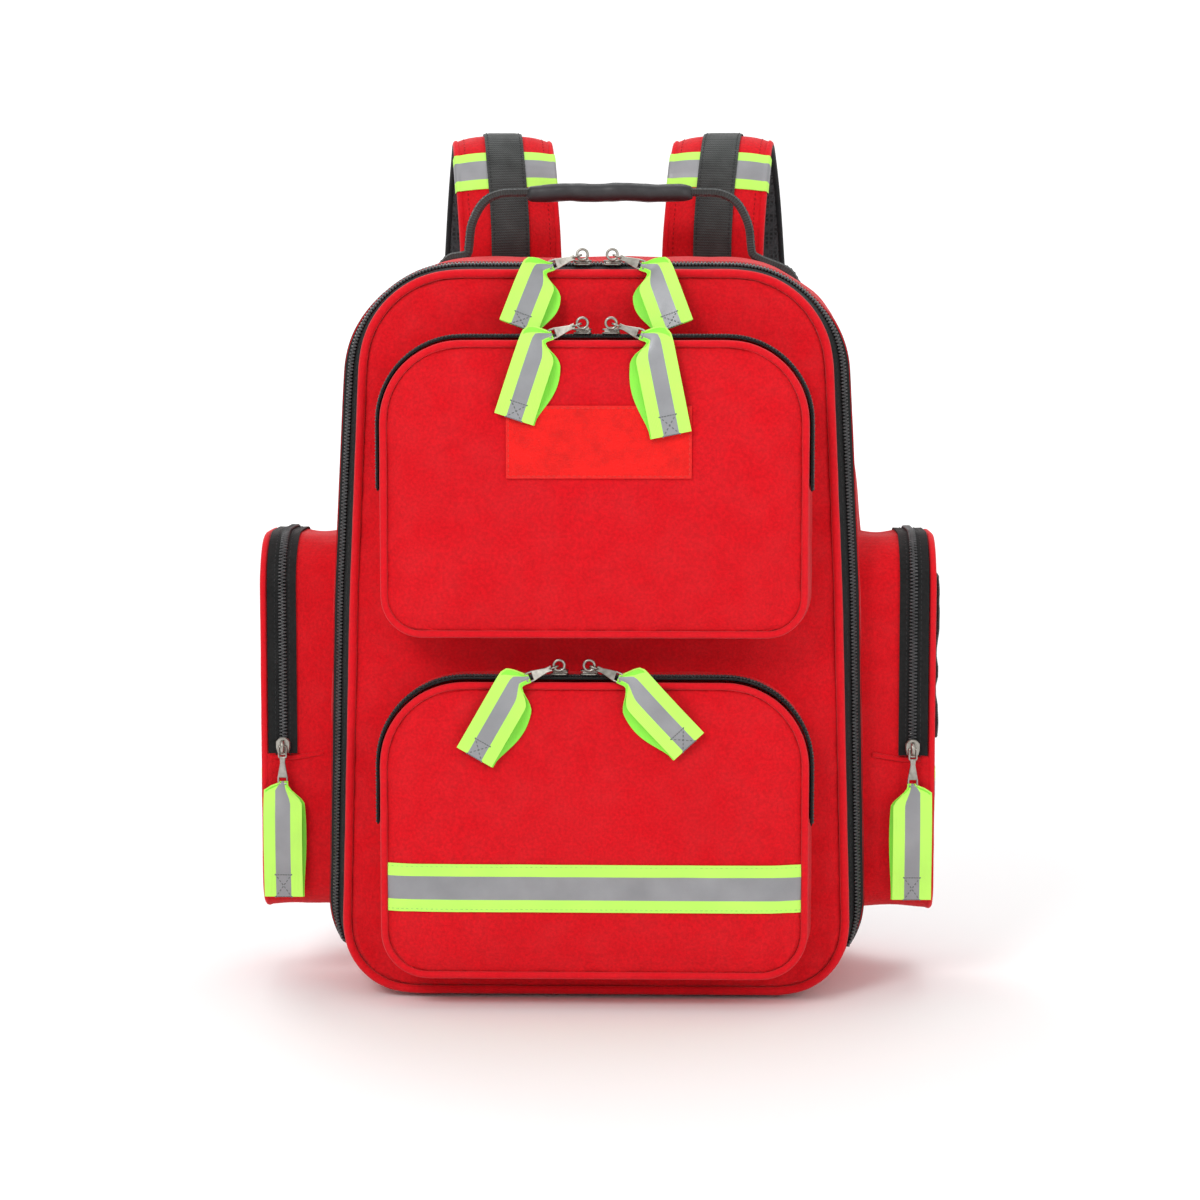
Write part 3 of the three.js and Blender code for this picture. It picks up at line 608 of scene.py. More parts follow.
def build_stage():
    """A pale floor that runs up into a backdrop, soft light from the front and above, and the camera."""
    world = bpy.data.worlds.new("studio")
    bpy.context.scene.world = world
    world.use_nodes = True
    world.node_tree.nodes["Background"].inputs["Color"].default_value = (1, 1, 1, 1)
    world.node_tree.nodes["Background"].inputs["Strength"].default_value = 0.7

    turn = np.linspace(0.1, math.pi / 2, 12)
    start, radius = 6, 3
    depth = np.concatenate([[-9, start], start + radius * np.sin(turn), [start + radius]])
    rise = np.concatenate([[0, 0], radius - radius * np.cos(turn), [9]])
    across = np.linspace(-12, 12, 3)
    points = [(x, y, z) for y, z in zip(depth, rise) for x in across]
    s = Shader("studio_floor")
    s.set(Base_Color=s.mix((0.86, 0.86, 0.86, 1), (0.9, 0.9, 0.9, 1), s.noise(2, 2)), Roughness=0.7)
    far = s.node("VectorMath", {0: s.coordinates.outputs["Object"]}, operation="LENGTH")
    far = far.outputs["Value"]
    glow = {"Value": far, "From Min": 1.2, "From Max": 4.0, "To Min": 0.0, "To Max": 0.42}
    s.set(Emission_Color=(1, 1, 1, 1), Emission_Strength=s.node("MapRange", glow).outputs[0])
    floor = mesh_object("floor", points, grid_faces(len(depth), 3), s.material)

    def area(name, where, aim, size, power):
        light = bpy.data.lights.new(name, "AREA")
        light.shape, light.size, light.energy = "DISK", size, power
        obj = bpy.data.objects.new(name, light)
        bpy.context.scene.collection.objects.link(obj)
        obj.location = where
        obj.rotation_euler = (Vector(aim) - Vector(where)).to_track_quat("-Z", "Y").to_euler()

    area("key", (-1.1, -2.3, 1.9), (0, 0, 0.25), 1.1, 34)
    area("fill", (1.6, -2.0, 1.0), (0, 0, 0.25), 1.6, 12)
    area("top", (0.1, 0.5, 2.2), (0, 0, 0.3), 1.4, 14)
    area("back", (-0.9, 2.0, 1.6), (0, 0.1, 0.4), 1.2, 12)

    camera = bpy.data.objects.new("camera", bpy.data.cameras.new("camera"))
    bpy.context.scene.collection.objects.link(camera)
    camera.data.lens = 89.7
    azimuth, elevation, distance = math.radians(1.5), math.radians(5.5), 1.9
    aim = Vector((0.0005, 0, 0.238))
    level = Vector((math.sin(azimuth), -math.cos(azimuth), 0)) * math.cos(elevation)
    away = level + Vector((0, 0, math.sin(elevation)))
    camera.location = aim + away * distance
    camera.rotation_euler = (-away).to_track_quat("-Z", "Y").to_euler()
    bpy.context.scene.camera = camera
    bpy.context.scene.view_settings.view_transform = "Standard"


# ================================================================ sewn panels


def half_widths(outline, heights):
    """The outline's left and right x at each height."""
    low, high = outline[:, 1].min(), outline[:, 1].max()
    sides = []
    for sign in (-1, 1):
        side = outline[outline[:, 0] * sign >= 0]
        order = np.argsort(side[:, 1])
        sides.append(np.interp(np.clip(heights, low, high), side[order, 1], side[order, 0]))
    flat = [outline[np.abs(outline[:, 1] - z) < 0.15 * MM][:, 0] for z in (low, high)]
    for row, xs in ((0, flat[0]), (-1, flat[1])):
        if len(xs):
            sides[0][row], sides[1][row] = xs.min(), xs.max()
    return sides


def panel_grid(outline, spacing):
    """Rows of points (x, z) that fill an outline, denser at its top and bottom."""
    low, high = outline[:, 1].min(), outline[:, 1].max()
    rows = int((high - low) / spacing)
    t = np.linspace(0, 1, rows + 1)
    t = 0.45 * t + 0.55 * (1 - np.cos(math.pi * t)) / 2
    heights = low + (high - low) * t
    left, right = half_widths(outline, heights)
    columns = int((outline[:, 0].max() - outline[:, 0].min()) / spacing)
    s = np.linspace(0, 1, columns + 1)
    s = 0.7 * s + 0.3 * (1 - np.cos(math.pi * s)) / 2
    x = left[:, None] + (right - left)[:, None] * s[None]
    return np.stack([x, np.broadcast_to(heights[:, None], x.shape)], axis=-1)


def border_distance(points, outline):
    """How far each point (x, z) is from an outline."""
    flat = points.reshape(-1, 2)
    nearest = np.full(len(flat), np.inf)
    for start in range(0, len(outline), 64):
        gaps = np.linalg.norm(flat[:, None] - outline[None, start : start + 64], axis=2)
        nearest = np.minimum(nearest, gaps.min(axis=1))
    return nearest.reshape(points.shape[:-1])


def border_loop(rows, cols):
    """The grid's border points in order, anticlockwise seen from the front."""
    bottom = list(range(cols))
    right = [r * cols + cols - 1 for r in range(1, rows)]
    top = [(rows - 1) * cols + c for c in range(cols - 2, -1, -1)]
    left = [r * cols for r in range(rows - 2, 0, -1)]
    return bottom + right + top + left


def padded_skin(name, outline, front, crown, rim, thickness, material, seed):
    """A padded panel facing -Y: a crowned face over a rim that turns back along its outline."""
    grid = panel_grid(outline, 4.5 * MM)
    soft = 26 * MM  # how far in from its edge the crown rises
    rows, cols = grid.shape[:2]
    depth = border_distance(grid, outline)
    swell = crown * (1 - np.exp(-depth / soft)) + ROLL * (1 - np.exp(-depth / (1.7 * MM)))
    points = np.stack([grid[..., 0], front - swell, grid[..., 1]], axis=-1)
    inside = smoothstep(depth, 2 * MM, 22 * MM)
    points[..., 1] += inside * 0.5 * MM * ripple(points, 75 * MM, seed)
    points[..., 1] += inside * 0.22 * MM * ripple(points, 24 * MM, seed + 1)
    vertices = points.reshape(-1, 3)
    faces = grid_faces(rows, cols)
    loop = border_loop(rows, cols)
    edge = vertices[loop]
    sides = [(0.5, 0.12), (1.2, 0.32), (1.6, 0.6), (1.6, 1.0)] if rim else []
    all_faces = [tuple(f) for f in faces]
    previous = list(loop)
    for grow, share in sides:
        ring = at_depth(offset(edge[:, [0, 2]], grow * MM), front + rim * share)
        start = len(vertices)
        vertices = np.vstack([vertices, ring])
        now = list(range(start, start + len(ring)))
        for k in range(len(loop)):
            n = (k + 1) % len(loop)
            all_faces.append((previous[k], now[k], now[n], previous[n]))
        previous = now
    obj = mesh_object(name, vertices, all_faces, material)
    pinned = set(loop) | set(range(rows * cols, len(vertices)))
    puff(obj, pinned, crown)
    return thicken(obj, thickness)


def puff(obj, pinned, reach):
    """Swells a sewn panel by a cloth simulation: its border is held, and its cloth is a little
    larger than the frame it is sewn to, so it creases as real panels do."""
    if reach <= 0:
        return
    slack = 0.012
    mesh = obj.data
    start = np.empty(len(mesh.vertices) * 3)
    mesh.vertices.foreach_get("co", start)
    start = start.reshape(-1, 3)
    group = obj.vertex_groups.new(name="held")
    group.add(sorted(int(i) for i in pinned), 1.0, "REPLACE")
    modifier = modify(obj, "CLOTH")
    modifier.collision_settings.use_collision = False
    modifier.settings.effector_weights.gravity = 0
    wanted = {
        "quality": 5,
        "mass": 0.25,
        "tension_stiffness": 30,
        "compression_stiffness": 30,
        "shear_stiffness": 12,
        "bending_stiffness": 6,
        "vertex_group_mass": "held",
        "shrink_min": -slack,
        "use_pressure": True,
        "uniform_pressure_force": 5.0,
    }
    for key, value in wanted.items():
        setattr(modifier.settings, key, value)
    scene = bpy.context.scene
    for number in range(1, 21):
        scene.frame_set(number)
    evaluated = obj.evaluated_get(bpy.context.evaluated_depsgraph_get())
    moved = np.empty(len(start) * 3)
    evaluated.data.vertices.foreach_get("co", moved)
    moved = moved.reshape(-1, 3)
    obj.modifiers.clear()
    obj.vertex_groups.clear()
    scene.frame_set(1)
    shift = moved - start
    length = np.linalg.norm(shift, axis=1, keepdims=True)
    cap = 0.75 * reach
    shift *= np.where(length > 1e-9, cap * np.tanh(length / cap) / np.maximum(length, 1e-9), 0)
    mesh.vertices.foreach_set("co", (start + shift).ravel())
    mesh.update()


def piping(name, outline, y, radius):
    """A cord of piping round an outline, with a slight twist to its cover."""
    path = Path(at_depth(spaced(outline, 3 * MM), y), (0, -1, 0), closed=True)
    scale = 1 + 0.035 * ripple(path.points, 14 * MM, 3)
    return sweep(name, path, round_section(radius, 10), RED_PIPING, scale=scale, sharp=80)


# ================================================================ zips


def outline_path(outline, y, spacing, above=None, tilt=None):
    """A path along an outline at depth y, out of the outline, and optionally only above a height.
    tilt gives how far its out direction leans to the front at each height, in radians."""
    line = outline if spacing is None else spaced(outline, spacing)
    lean = np.zeros(len(line)) if tilt is None else tilt(line[:, 1])
    out = np.insert(outward(line) * np.cos(lean)[:, None], 1, -np.sin(lean), axis=1)
    path = Path(at_depth(line, y), out, closed=True)
    return path if above is None else path.cut(line[:, 1] > above)


def zip_half(name, path, side, width, body, turn=0):
    """One half of a zip: its tape, folded edge and row of coil teeth. side is 1 for the half in
    front of the path and -1 for the half behind it."""
    side = -side  # across points backwards on a path that runs anticlockwise seen from the front
    coil = 2.5 * MM
    tape = np.array([(0.15, 0.0), (0.6, 0.35), (1.0, 0.5), (1.0, -0.5), (0.15, -0.5)])
    tape[:, 0] *= width * side
    tape[:, 1] *= 0.9 * MM
    parts = [sweep(name, path, tape, ZIP_TAPE)]
    count = int(path.length[-1] / TOOTH_PITCH)
    at = (np.arange(count) + (0.25 if side > 0 else 0.75)) * TOOTH_PITCH
    centre = np.stack([np.interp(at, path.length, path.points[:, k]) for k in range(3)], axis=1)
    along, out, across = (
        unit(np.stack([np.interp(at, path.length, v[:, k]) for k in range(3)], axis=1))
        for v in (path.along, path.out, path.across)
    )
    ring = np.arange(7) * 2 * math.pi / 7
    tooth_length = np.array([-0.28, 0.15, 0.75, 1.0]) * coil
    size = np.array([0.72, 1.0, 1.0, 0.55])
    points = []
    for reach, grow in zip(tooth_length, size):
        a = np.cos(ring) * TOOTH_PITCH * 0.34 * grow
        b = np.sin(ring) * 0.95 * MM * grow + 1.0 * MM
        points.append(
            centre[:, None]
            + across[:, None] * (side * reach)
            + along[:, None] * a[None, :, None]
            + out[:, None] * b[None, :, None]
        )
    points = np.stack(points, axis=1).reshape(-1, 3)
    one = [tuple(f) for f in grid_faces(4, 7, wrap=True)] + [tuple(range(6, -1, -1)), tuple(range(21, 28))]
    faces = [tuple(28 * n + k for k in f) for n in range(count) for f in one]
    if side > 0:
        faces = [f[::-1] for f in faces]
    parts.append(mesh_object(name + "_teeth", points, faces, COIL, sharp=60))
    seam = path.shifted(across=side * width * 0.5, out=0.35 * MM)
    parts.append(stitches(name + "_stitch", seam, None, BLACK_THREAD))
    return fix(place(merge(name, parts), turn), body)


# ================================================================ pockets


class Pocket:
    """A zipped pocket, worked out from its CAD nodes, as if it faced the front. turn is the angle
    from there to where it really faces, in degrees."""

    def __init__(self, prefix, body, flap_body, turn, top_radius, bottom_radius, flare, zip_from, zip_width):
        self.prefix, self.body, self.flap_body, self.turn = prefix, body, flap_body, turn
        flap = self.local_box(f"{prefix}_flap")
        body_box = self.local_box(f"{prefix}_body")
        self.half = (flap[1][0] - flap[0][0]) / 2
        self.split = flap[0][2] - 0.3 * MM
        self.top = flap[1][2]
        self.bottom = body_box[0][2] + flare
        self.front = flap[0][1]
        self.base = body_box[1][1]
        self.radii = (bottom_radius, top_radius)
        self.flare, self.zip_from, self.zip_width = flare, zip_from, zip_width

    def local_box(self, node):
        co = node_vertices(node) @ np.array(Matrix.Rotation(math.radians(-self.turn), 3, "Z")).T
        return co.min(axis=0), co.max(axis=0)

    def outline(self, grow=0.0, spacing=2 * MM):
        bottom, top = self.radii
        return rounded_box(
            self.half + grow, self.bottom - grow, self.top + grow, bottom + grow, top + grow, spacing
        )

    def world(self, point):
        return Matrix.Rotation(math.radians(self.turn), 3, "Z") @ Vector(point)

    def bend(self, obj):
        """Bakes the transform of a piece that runs from the fixed part to the flap into its mesh; the hinge's
        ends are worked out, but the piece does not fold.
        """
        start = self.world((0, self.front, self.split - 7 * MM))
        end = self.world((0, self.front, self.split + 7 * MM))
        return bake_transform(obj)


def build_pocket(pocket, crown, seed, base_y=None):
    """The pocket's padded face, piping, gusset and zip."""
    p = pocket
    name, outline, front = f"{p.prefix}_face", p.outline(-3.4 * MM), p.front + 2.8 * MM
    face = padded_skin(name, outline, front, crown, RIM - 2.4 * MM, 1.4 * MM, [RED, LINING], seed)
    place(face, p.turn)
    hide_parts(f"{p.prefix}_flap")
    p.bend(face)

    cord = p.outline(-1.5 * MM)
    edge = piping(f"{p.prefix}_piping", cord, p.front + 1.4 * MM, PIPING_RADIUS)
    p.bend(place(edge, p.turn))

    gusset = build_gusset(p, seed, base_y)
    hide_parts(f"{p.prefix}_body")

    middle = p.front + p.zip_from + p.zip_width / 2
    growth = p.flare * (p.zip_from + p.zip_width / 2) / (p.base - p.front)
    path = outline_path(p.outline(growth + 1.0 * MM), middle, 2.5 * MM, above=p.split + 0.2 * MM)
    half = zip_half(f"{p.prefix}_zip_inner", path, -1, p.zip_width / 2, p.body, p.turn)
    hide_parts(f"{p.prefix}_zip")
    zip_half(f"{p.prefix}_zip_outer", path, 1, p.zip_width / 2 + 1 * MM, p.flap_body, p.turn)
    return Face(face, p.turn, p.front)


def build_gusset(p, seed, base_y=None):
    """The pocket's side wall: from the bag out to the zip, waisted a little between its seams."""
    outline = p.outline(0, 3 * MM)
    normals = outward(outline)
    reach = p.base - p.front
    front = p.front + 2.6 * MM
    stations = np.linspace(0, 1, 9)
    above = smoothstep(outline[:, 1], p.split + 0.5 * MM, p.split + 4 * MM)
    start = front + above * (p.zip_from + p.zip_width - 3 * MM)
    rings = []
    for t in stations:
        foot = np.full(len(outline), p.base) if base_y is None else base_y(outline)
        y = start + (foot - start) * t
        grow = p.flare * (y - p.front) / reach - 1.3 * MM * np.sin(math.pi * t)
        ring = outline + normals * np.expand_dims(grow, 1)
        points = np.stack([ring[:, 0], y, ring[:, 1]], axis=1)
        wave = ripple(points, 34 * MM, seed + 5) * math.sin(math.pi * t) * 0.9 * MM
        points += np.insert(normals, 1, 0, axis=1) * wave[:, None]
        rings.append(points)
    points = np.array(rings)
    faces = grid_faces(len(stations), len(outline), wrap=True)
    gusset = mesh_object(f"{p.prefix}_gusset", points.reshape(-1, 3), facing(faces, True), [RED, LINING])
    thicken(gusset, 1.4 * MM)
    return fix(place(gusset, p.turn), p.body)


# ================================================================ main compartment

DOOR_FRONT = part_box("front_panel")[0][1]
BACK_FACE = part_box("back_panel")[1][1]
MAIN_ZIP_Y = (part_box("main_zip_body_half")[0][1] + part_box("main_zip_door_half")[1][1]) / 2
FRONT_OUTLINE = offset(outline_of("front_panel", DOOR_FRONT), 6.3 * MM)
BACK_OUTLINE = outline_of("back_panel", BACK_FACE)


def body_outline(y, count=420):
    """The main compartment's outline at a depth, between its front and back outlines."""
    front, back = (
        spaced(o, np.linalg.norm(np.diff(np.vstack([o, o[:1]]), axis=0), axis=1).sum() / count)[:count]
        for o in (FRONT_OUTLINE, BACK_OUTLINE)
    )
    t = (y - DOOR_FRONT) / (BACK_FACE - DOOR_FRONT)
    plain = front + (back - front) * t
    swell = BULGE * math.sin(math.pi * min(max(t, 0), 1))
    share = smoothstep(plain[:, 1], 0, 60 * MM)[:, None]
    return plain + (offset(plain, swell) - plain) * share


def zip_tilt(z):
    """How far the main zip leans to the front: more down the sides than over the top."""
    lean = (44 - 25 * smoothstep(z, 385 * MM, 440 * MM)) * smoothstep(z, 5 * MM, 60 * MM)
    return np.radians(lean)


def zip_reach(z, share):
    """How far out of the gusset the main zip is: share is 0 on its front edge and 1 on its rear one."""
    return 2 * MAIN_ZIP_HALF * np.sin(zip_tilt(z)) * share - 2 * MM


GUSSET_FRONT = MAIN_ZIP_Y + 4.2 * MM


def gusset_flare(y, z):
    """How far the gusset stands out of the outline at its front edge, to meet the zip."""
    reach = (zip_reach(z, 1) - 0.4 * MM) * smoothstep(z, 0, 50 * MM)
    return reach * (1 - smoothstep(y, GUSSET_FRONT, GUSSET_FRONT + 34 * MM))


def build_shell():
    """The gusset round the main compartment, with a lining inside."""
    ys = np.linspace(GUSSET_FRONT, BACK_FACE - 2.5 * MM, 30)
    rings = []
    for y in ys:
        ring = body_outline(y)
        ring = offset(ring, gusset_flare(y, ring[:, 1]))
        normals = outward(ring)
        points = at_depth(ring, y)
        t = (y - ys[0]) / (ys[-1] - ys[0])
        off_ground = smoothstep(points[:, 2], 4 * MM, 45 * MM)
        hold = math.sin(math.pi * t) ** 0.7
        folds = ripple(points * (1, 0.55, 1), 70 * MM, 21) * 1.5 * MM + ripple(points, 30 * MM, 22) * 0.5 * MM
        points += np.insert(normals, 1, 0, axis=1) * (hold * off_ground * folds)[:, None]
        rings.append(points)
    points = np.array(rings)
    faces = grid_faces(len(ys), points.shape[1], wrap=True)
    shell = mesh_object("main_gusset", points.reshape(-1, 3), facing(faces, True), [RED, LINING])
    thicken(shell, 3.6 * MM)
    fix(shell, "bag")
    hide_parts("base_panel", "left_side_panel", "right_side_panel", "top_panel")
    y = ys[-1] - 5 * MM
    path = outline_path(body_outline(y), y, 3 * MM)
    stitches("main_gusset_back_seam", path, "bag", RED_THREAD, radius=0.3 * MM)
    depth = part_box("back_stiffener_sheet")[0][1] - 1.2 * MM
    path = outline_path(offset(spaced(body_outline(ys[-1]), 3 * MM), -6.5 * MM), depth, None)
    section = round_section(1, 10) * (4.6 * MM, 3.4 * MM)
    binding = sweep("main_gusset_inner_binding", path, section, BLACK_CLOTH)
    fix(binding, "bag")


def build_main_zip():
    for side, body, node in ((-1, "bag", "main_zip_body_half"), (1, "front_door", "main_zip_door_half")):
        line = body_outline(MAIN_ZIP_Y)
        line = offset(line, zip_reach(line[:, 1], 0.5))
        path = outline_path(line, MAIN_ZIP_Y, 3 * MM, above=30 * MM, tilt=zip_tilt)
        width = MAIN_ZIP_HALF + (3.6 * MM if side > 0 else 0.6 * MM)
        half = zip_half(f"main_zip_{'inner' if side < 0 else 'outer'}", path, side, width, body)
        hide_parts(node)
    path = outline_path(offset(body_outline(MAIN_ZIP_Y), -0.6 * MM), MAIN_ZIP_Y, 3 * MM)
    x, z = path.points[:, 0], path.points[:, 2]
    seam = sweep("base_seam", path.cut(z <= 19 * MM), flat_section(13 * MM, 1.4 * MM), RED)
    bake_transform(seam)
    for name, sign in (("left", -1), ("right", 1)):
        end = path.cut((z > 15 * MM) & (z <= BASE_SEAM_TOP) & (x * sign > 0))
        tab = sweep(f"base_seam_{name}_end", end, flat_section(12.4 * MM, 1.8 * MM), RED)
        fix(tab, "bag")


def turn_to_back(panel, y):
    """Turns a panel that was built facing -Y at y = 0 to face the back at a depth."""
    panel.data.transform(Matrix.Translation((0, y, 0)) @ Matrix.Scale(-1, 4, (0, 1, 0)))
    panel.data.flip_normals()
    return panel


def build_door():
    """The front panel: a padded face, its piping, and a lined inside with a mesh pocket."""
    outline = offset(FRONT_OUTLINE, -5.6 * MM)
    front = DOOR_FRONT + 2.9 * MM
    face = padded_skin("front_panel_face", outline, front, 1.4 * MM, 4.2 * MM, 2 * MM, RED, 31)
    fix(face, "front_door", "front_panel")
    cord = offset(FRONT_OUTLINE, -2.8 * MM)
    edge = piping("front_panel_cord", cord, DOOR_FRONT + 1.6 * MM, MAIN_PIPING_RADIUS)
    fix(edge, "front_door", "front_panel_piping")
    flange = offset(FRONT_OUTLINE, -3.2 * MM)
    path = Path(at_depth(spaced(flange, 4 * MM), DOOR_FRONT + 5.2 * MM), (0, -1, 0), closed=True)
    strip = sweep("front_panel_flange", path, flat_section(4.4 * MM, 4.5 * MM), RED)
    fix(strip, "front_door")

    bound = offset(outline, -1 * MM)
    path = Path(at_depth(spaced(bound, 4 * MM), DOOR_FRONT + 6.6 * MM), (0, 1, 0), closed=True)
    section = round_section(1, 10) * (3.4 * MM, 1.7 * MM)
    fix(sweep("front_panel_inner_binding", path, section, BLACK_CLOTH), "front_door")

    lined = offset(outline, -2 * MM)
    inner = padded_skin("front_panel_lining", lined, 0, 1.5 * MM, 0, 1 * MM, LINING, 35)
    fix(turn_to_back(inner, DOOR_FRONT + 8 * MM), "front_door")
    build_inner_pocket()


def build_inner_pocket():
    """A mesh pocket across the inside of the door, bound in black along its top."""
    half, low, high = 128 * MM, 60 * MM, 205 * MM
    y = DOOR_FRONT + 11.6 * MM
    rows, cols = 26, 44
    grid_x, grid_z = np.meshgrid(np.linspace(-half, half, cols), np.linspace(low, high, rows))
    belly = np.sin(math.pi * (grid_x + half) / (2 * half))
    belly = belly * np.sin(math.pi * (grid_z - low) / (high - low) * 0.75)
    points = np.stack([grid_x, y + 5 * MM * np.clip(belly, 0, 1), grid_z], axis=-1)
    points[..., 1] += 0.6 * MM * ripple(points, 40 * MM, 41) * np.clip(belly, 0, 1)
    faces = facing(grid_faces(rows, cols), True)
    net = mesh_object("door_mesh_pocket", points.reshape(-1, 3), faces, MESH)
    thicken(net, 0.6 * MM, inwards=False)
    fix(net, "front_door")
    rim = Path(points[-1], (0, 1, 0))
    hem = sweep("door_mesh_pocket_hem", rim, flat_section(9 * MM, 2 * MM), BLACK_WEBBING)
    fix(hem, "front_door")


def build_back():
    """The back panel with its binding, lining, stiffener and air-mesh pad."""
    outline = offset(BACK_OUTLINE, -1.5 * MM)
    panel = padded_skin("back_panel_face", outline, 0, 1.2 * MM, 4 * MM, 1.6 * MM, RED, 51)
    turn_to_back(panel, BACK_FACE - 3 * MM)
    fix(panel, "bag", "back_panel")
    cord = offset(BACK_OUTLINE, -1.2 * MM)
    edge = piping("back_panel_cord", cord, BACK_FACE - 1.6 * MM, PIPING_RADIUS)
    fix(edge, "bag")
    build_back_pad()
    lined, front = offset(outline, -8 * MM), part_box("back_stiffener_sheet")[0][1]
    lining = padded_skin("back_lining", lined, front, 1 * MM, 1.5 * MM, 1 * MM, LINING, 55)
    fix(lining, "bag", "back_stiffener_sheet")


def build_back_pad():
    """Two columns of air mesh joined by a lumbar bar, quilted across."""
    low, high = (np.array(c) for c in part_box("back_pad"))
    half, lower_half, channel = high[0], 104 * MM, 22 * MM
    rows, cols = 118, 75
    grid_x, grid_z = np.meshgrid(np.linspace(-half, half, cols), np.linspace(low[2], high[2], rows))
    rise = (grid_z - low[2]) / (high[2] - low[2])
    width = lower_half + (half - lower_half) * rise
    inset = 26 * MM
    end = np.minimum(grid_z - low[2], high[2] - grid_z)
    corner = np.where(end < inset, inset - np.sqrt(np.maximum(inset**2 - (inset - end) ** 2, 0)), 0)
    grid_x = grid_x / half * (width - corner)
    to_side = (width - corner) - np.abs(grid_x)
    groove_half = channel * smoothstep(grid_z, 115 * MM, 150 * MM)
    to_groove = np.abs(grid_x) - groove_half + 6 * MM
    to_edge = np.minimum(np.minimum(to_side, end), np.where(groove_half > 1 * MM, to_groove, 1.0))
    loft = 1 - np.exp(-np.clip(to_edge, 0, None) / (7 * MM))
    quilt = np.full_like(grid_z, 1.0)
    for line in np.linspace(low[2] + 62 * MM, high[2] - 62 * MM, 5):
        quilt *= 1 - 0.62 * np.exp(-(((grid_z - line) / (4.5 * MM)) ** 2))
    height = (high[1] - low[1] + 0.5 * MM) * loft * quilt
    wave = ripple(np.stack([grid_x, height, grid_z], -1), 30 * MM, 61)
    y = BACK_FACE + 1.5 * MM + height + 0.3 * MM * wave
    points = np.stack([grid_x, y, grid_z], axis=-1).reshape(-1, 3)
    pad = mesh_object("back_pad_mesh", points, facing(grid_faces(rows, cols), True), MESH, sharp=80)
    thicken(pad, 0.8 * MM)
    fix(pad, "bag", "back_pad")
    bind_sheet("back_pad_binding", points, rows, cols, 7 * MM)


def bind_sheet(name, points, rows, cols, width):
    """A black binding round the border of a grid of points that faces the back."""
    edge = Path(spaced(points[border_loop(rows, cols)], 4 * MM), (0, 1, 0), closed=True)
    fix(sweep(name, edge, flat_section(width, 2.4 * MM), BLACK_CLOTH), "bag")


def build_divider():
    """A padded shelf: lined foam that swells between its bound edges."""
    low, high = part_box("padded_divider")
    rows, cols = 28, 60
    y = np.linspace(low[1], high[1], rows)
    s = np.linspace(-1, 1, cols)
    front_half, back_half = high[0] - 12 * MM, high[0]
    half = front_half + (back_half - front_half) * ((y - y[0]) / (y[-1] - y[0]))
    plan_x = s[None] * half[:, None]
    plan_y = np.broadcast_to(y[:, None], plan_x.shape)
    middle = (low[2] + high[2]) / 2
    border = np.minimum(half[:, None] - np.abs(plan_x), np.minimum(plan_y - y[0], y[-1] - plan_y))
    swell = (high[2] - low[2]) / 2 * (0.35 + 0.65 * (1 - np.exp(-border / (8 * MM))))
    top = np.stack([plan_x, plan_y, middle + swell], axis=-1).reshape(-1, 3)
    under = np.stack([plan_x, plan_y, middle - swell], axis=-1).reshape(-1, 3)
    count = rows * cols
    faces = [tuple(f) for f in grid_faces(rows, cols)]
    faces += [tuple(f) for f in facing(grid_faces(rows, cols, start=count), True)]
    loop = border_loop(rows, cols)
    for k, a in enumerate(loop):
        b = loop[(k + 1) % len(loop)]
        faces.append((b, a, a + count, b + count))
    shelf = mesh_object("divider_shelf", np.vstack([top, under]), faces, LINING)
    fix(shelf, "bag", "padded_divider")
    line = (top[loop] + under[loop]) / 2
    edge = Path(spaced(line, 4 * MM), (0, 0, 1), closed=True)
    binding = sweep("divider_binding", edge, flat_section(3 * MM, 6.4 * MM), BLACK_CLOTH)
    fix(binding, "bag")


# ================================================================ pieces that lie on a pocket's face


class Face:
    """The outside of a sewn face, to lay other pieces on."""

    def __init__(self, obj, turn, level):
        self.turn, self.level = turn, level
        self.tree = BVHTree.FromObject(obj, bpy.context.evaluated_depsgraph_get())
        self.matrix = Matrix.Rotation(math.radians(turn), 3, "Z")

    def depth(self, x, z):
        """The surface's y at (x, z), as if the pocket faced the front."""
        start = self.matrix @ Vector((x, self.level - 0.1, z))
        hit = self.tree.ray_cast(start, self.matrix @ Vector((0, 1, 0)))
        return self.level if hit[0] is None else self.level - 0.1 + hit[3]

    def lay(self, x, z, lift):
        """Points (x, z) laid on the surface, a little way in front of it."""
        x, z = np.broadcast_arrays(x, z)
        y = np.array([self.depth(a, b) for a, b in zip(x.ravel(), z.ravel())]).reshape(x.shape)
        return np.stack([x, y - lift, z], axis=-1)


def laid_strip(name, face, xs, zs, slots, materials, thickness, body, lift=0.3 * MM):
    """A flat piece laid on a face, with its rows between the heights zs."""
    points = face.lay(*np.meshgrid(xs, zs), lift)
    rows, cols = points.shape[:2]
    uv = np.stack([points[..., 2], points[..., 0]], axis=-1).reshape(-1, 2)
    table = np.broadcast_to(slots, (rows - 1, cols - 1)).ravel()
    obj = mesh_object(name, points.reshape(-1, 3), grid_faces(rows, cols), materials, uv, table)
    modify(obj, "SOLIDIFY", thickness=thickness, offset=1)
    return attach(place(settle(obj), face.turn), body)


def laid_seam(name, face, corners, body, material, closed=True, lift=0.2 * MM):
    """A line of stitches laid through corners (x, z) on a face that looks to the front."""
    line = spaced(np.array(corners, float), 1.5 * MM, closed=closed)
    path = Path(face.lay(line[:, 0], line[:, 1], lift), (0, -1, 0), closed=closed)
    return stitches(name, path, body, material, pitch=3 * MM)


def box_corners(x0, x1, z0, z1):
    return [(x0, z0), (x1, z0), (x1, z1), (x0, z1)]


STRIPES = np.array([0, 0, 0, 1, 1, 0, 0, 0])[:, None]  # rows of a reflective strip: lime or silver


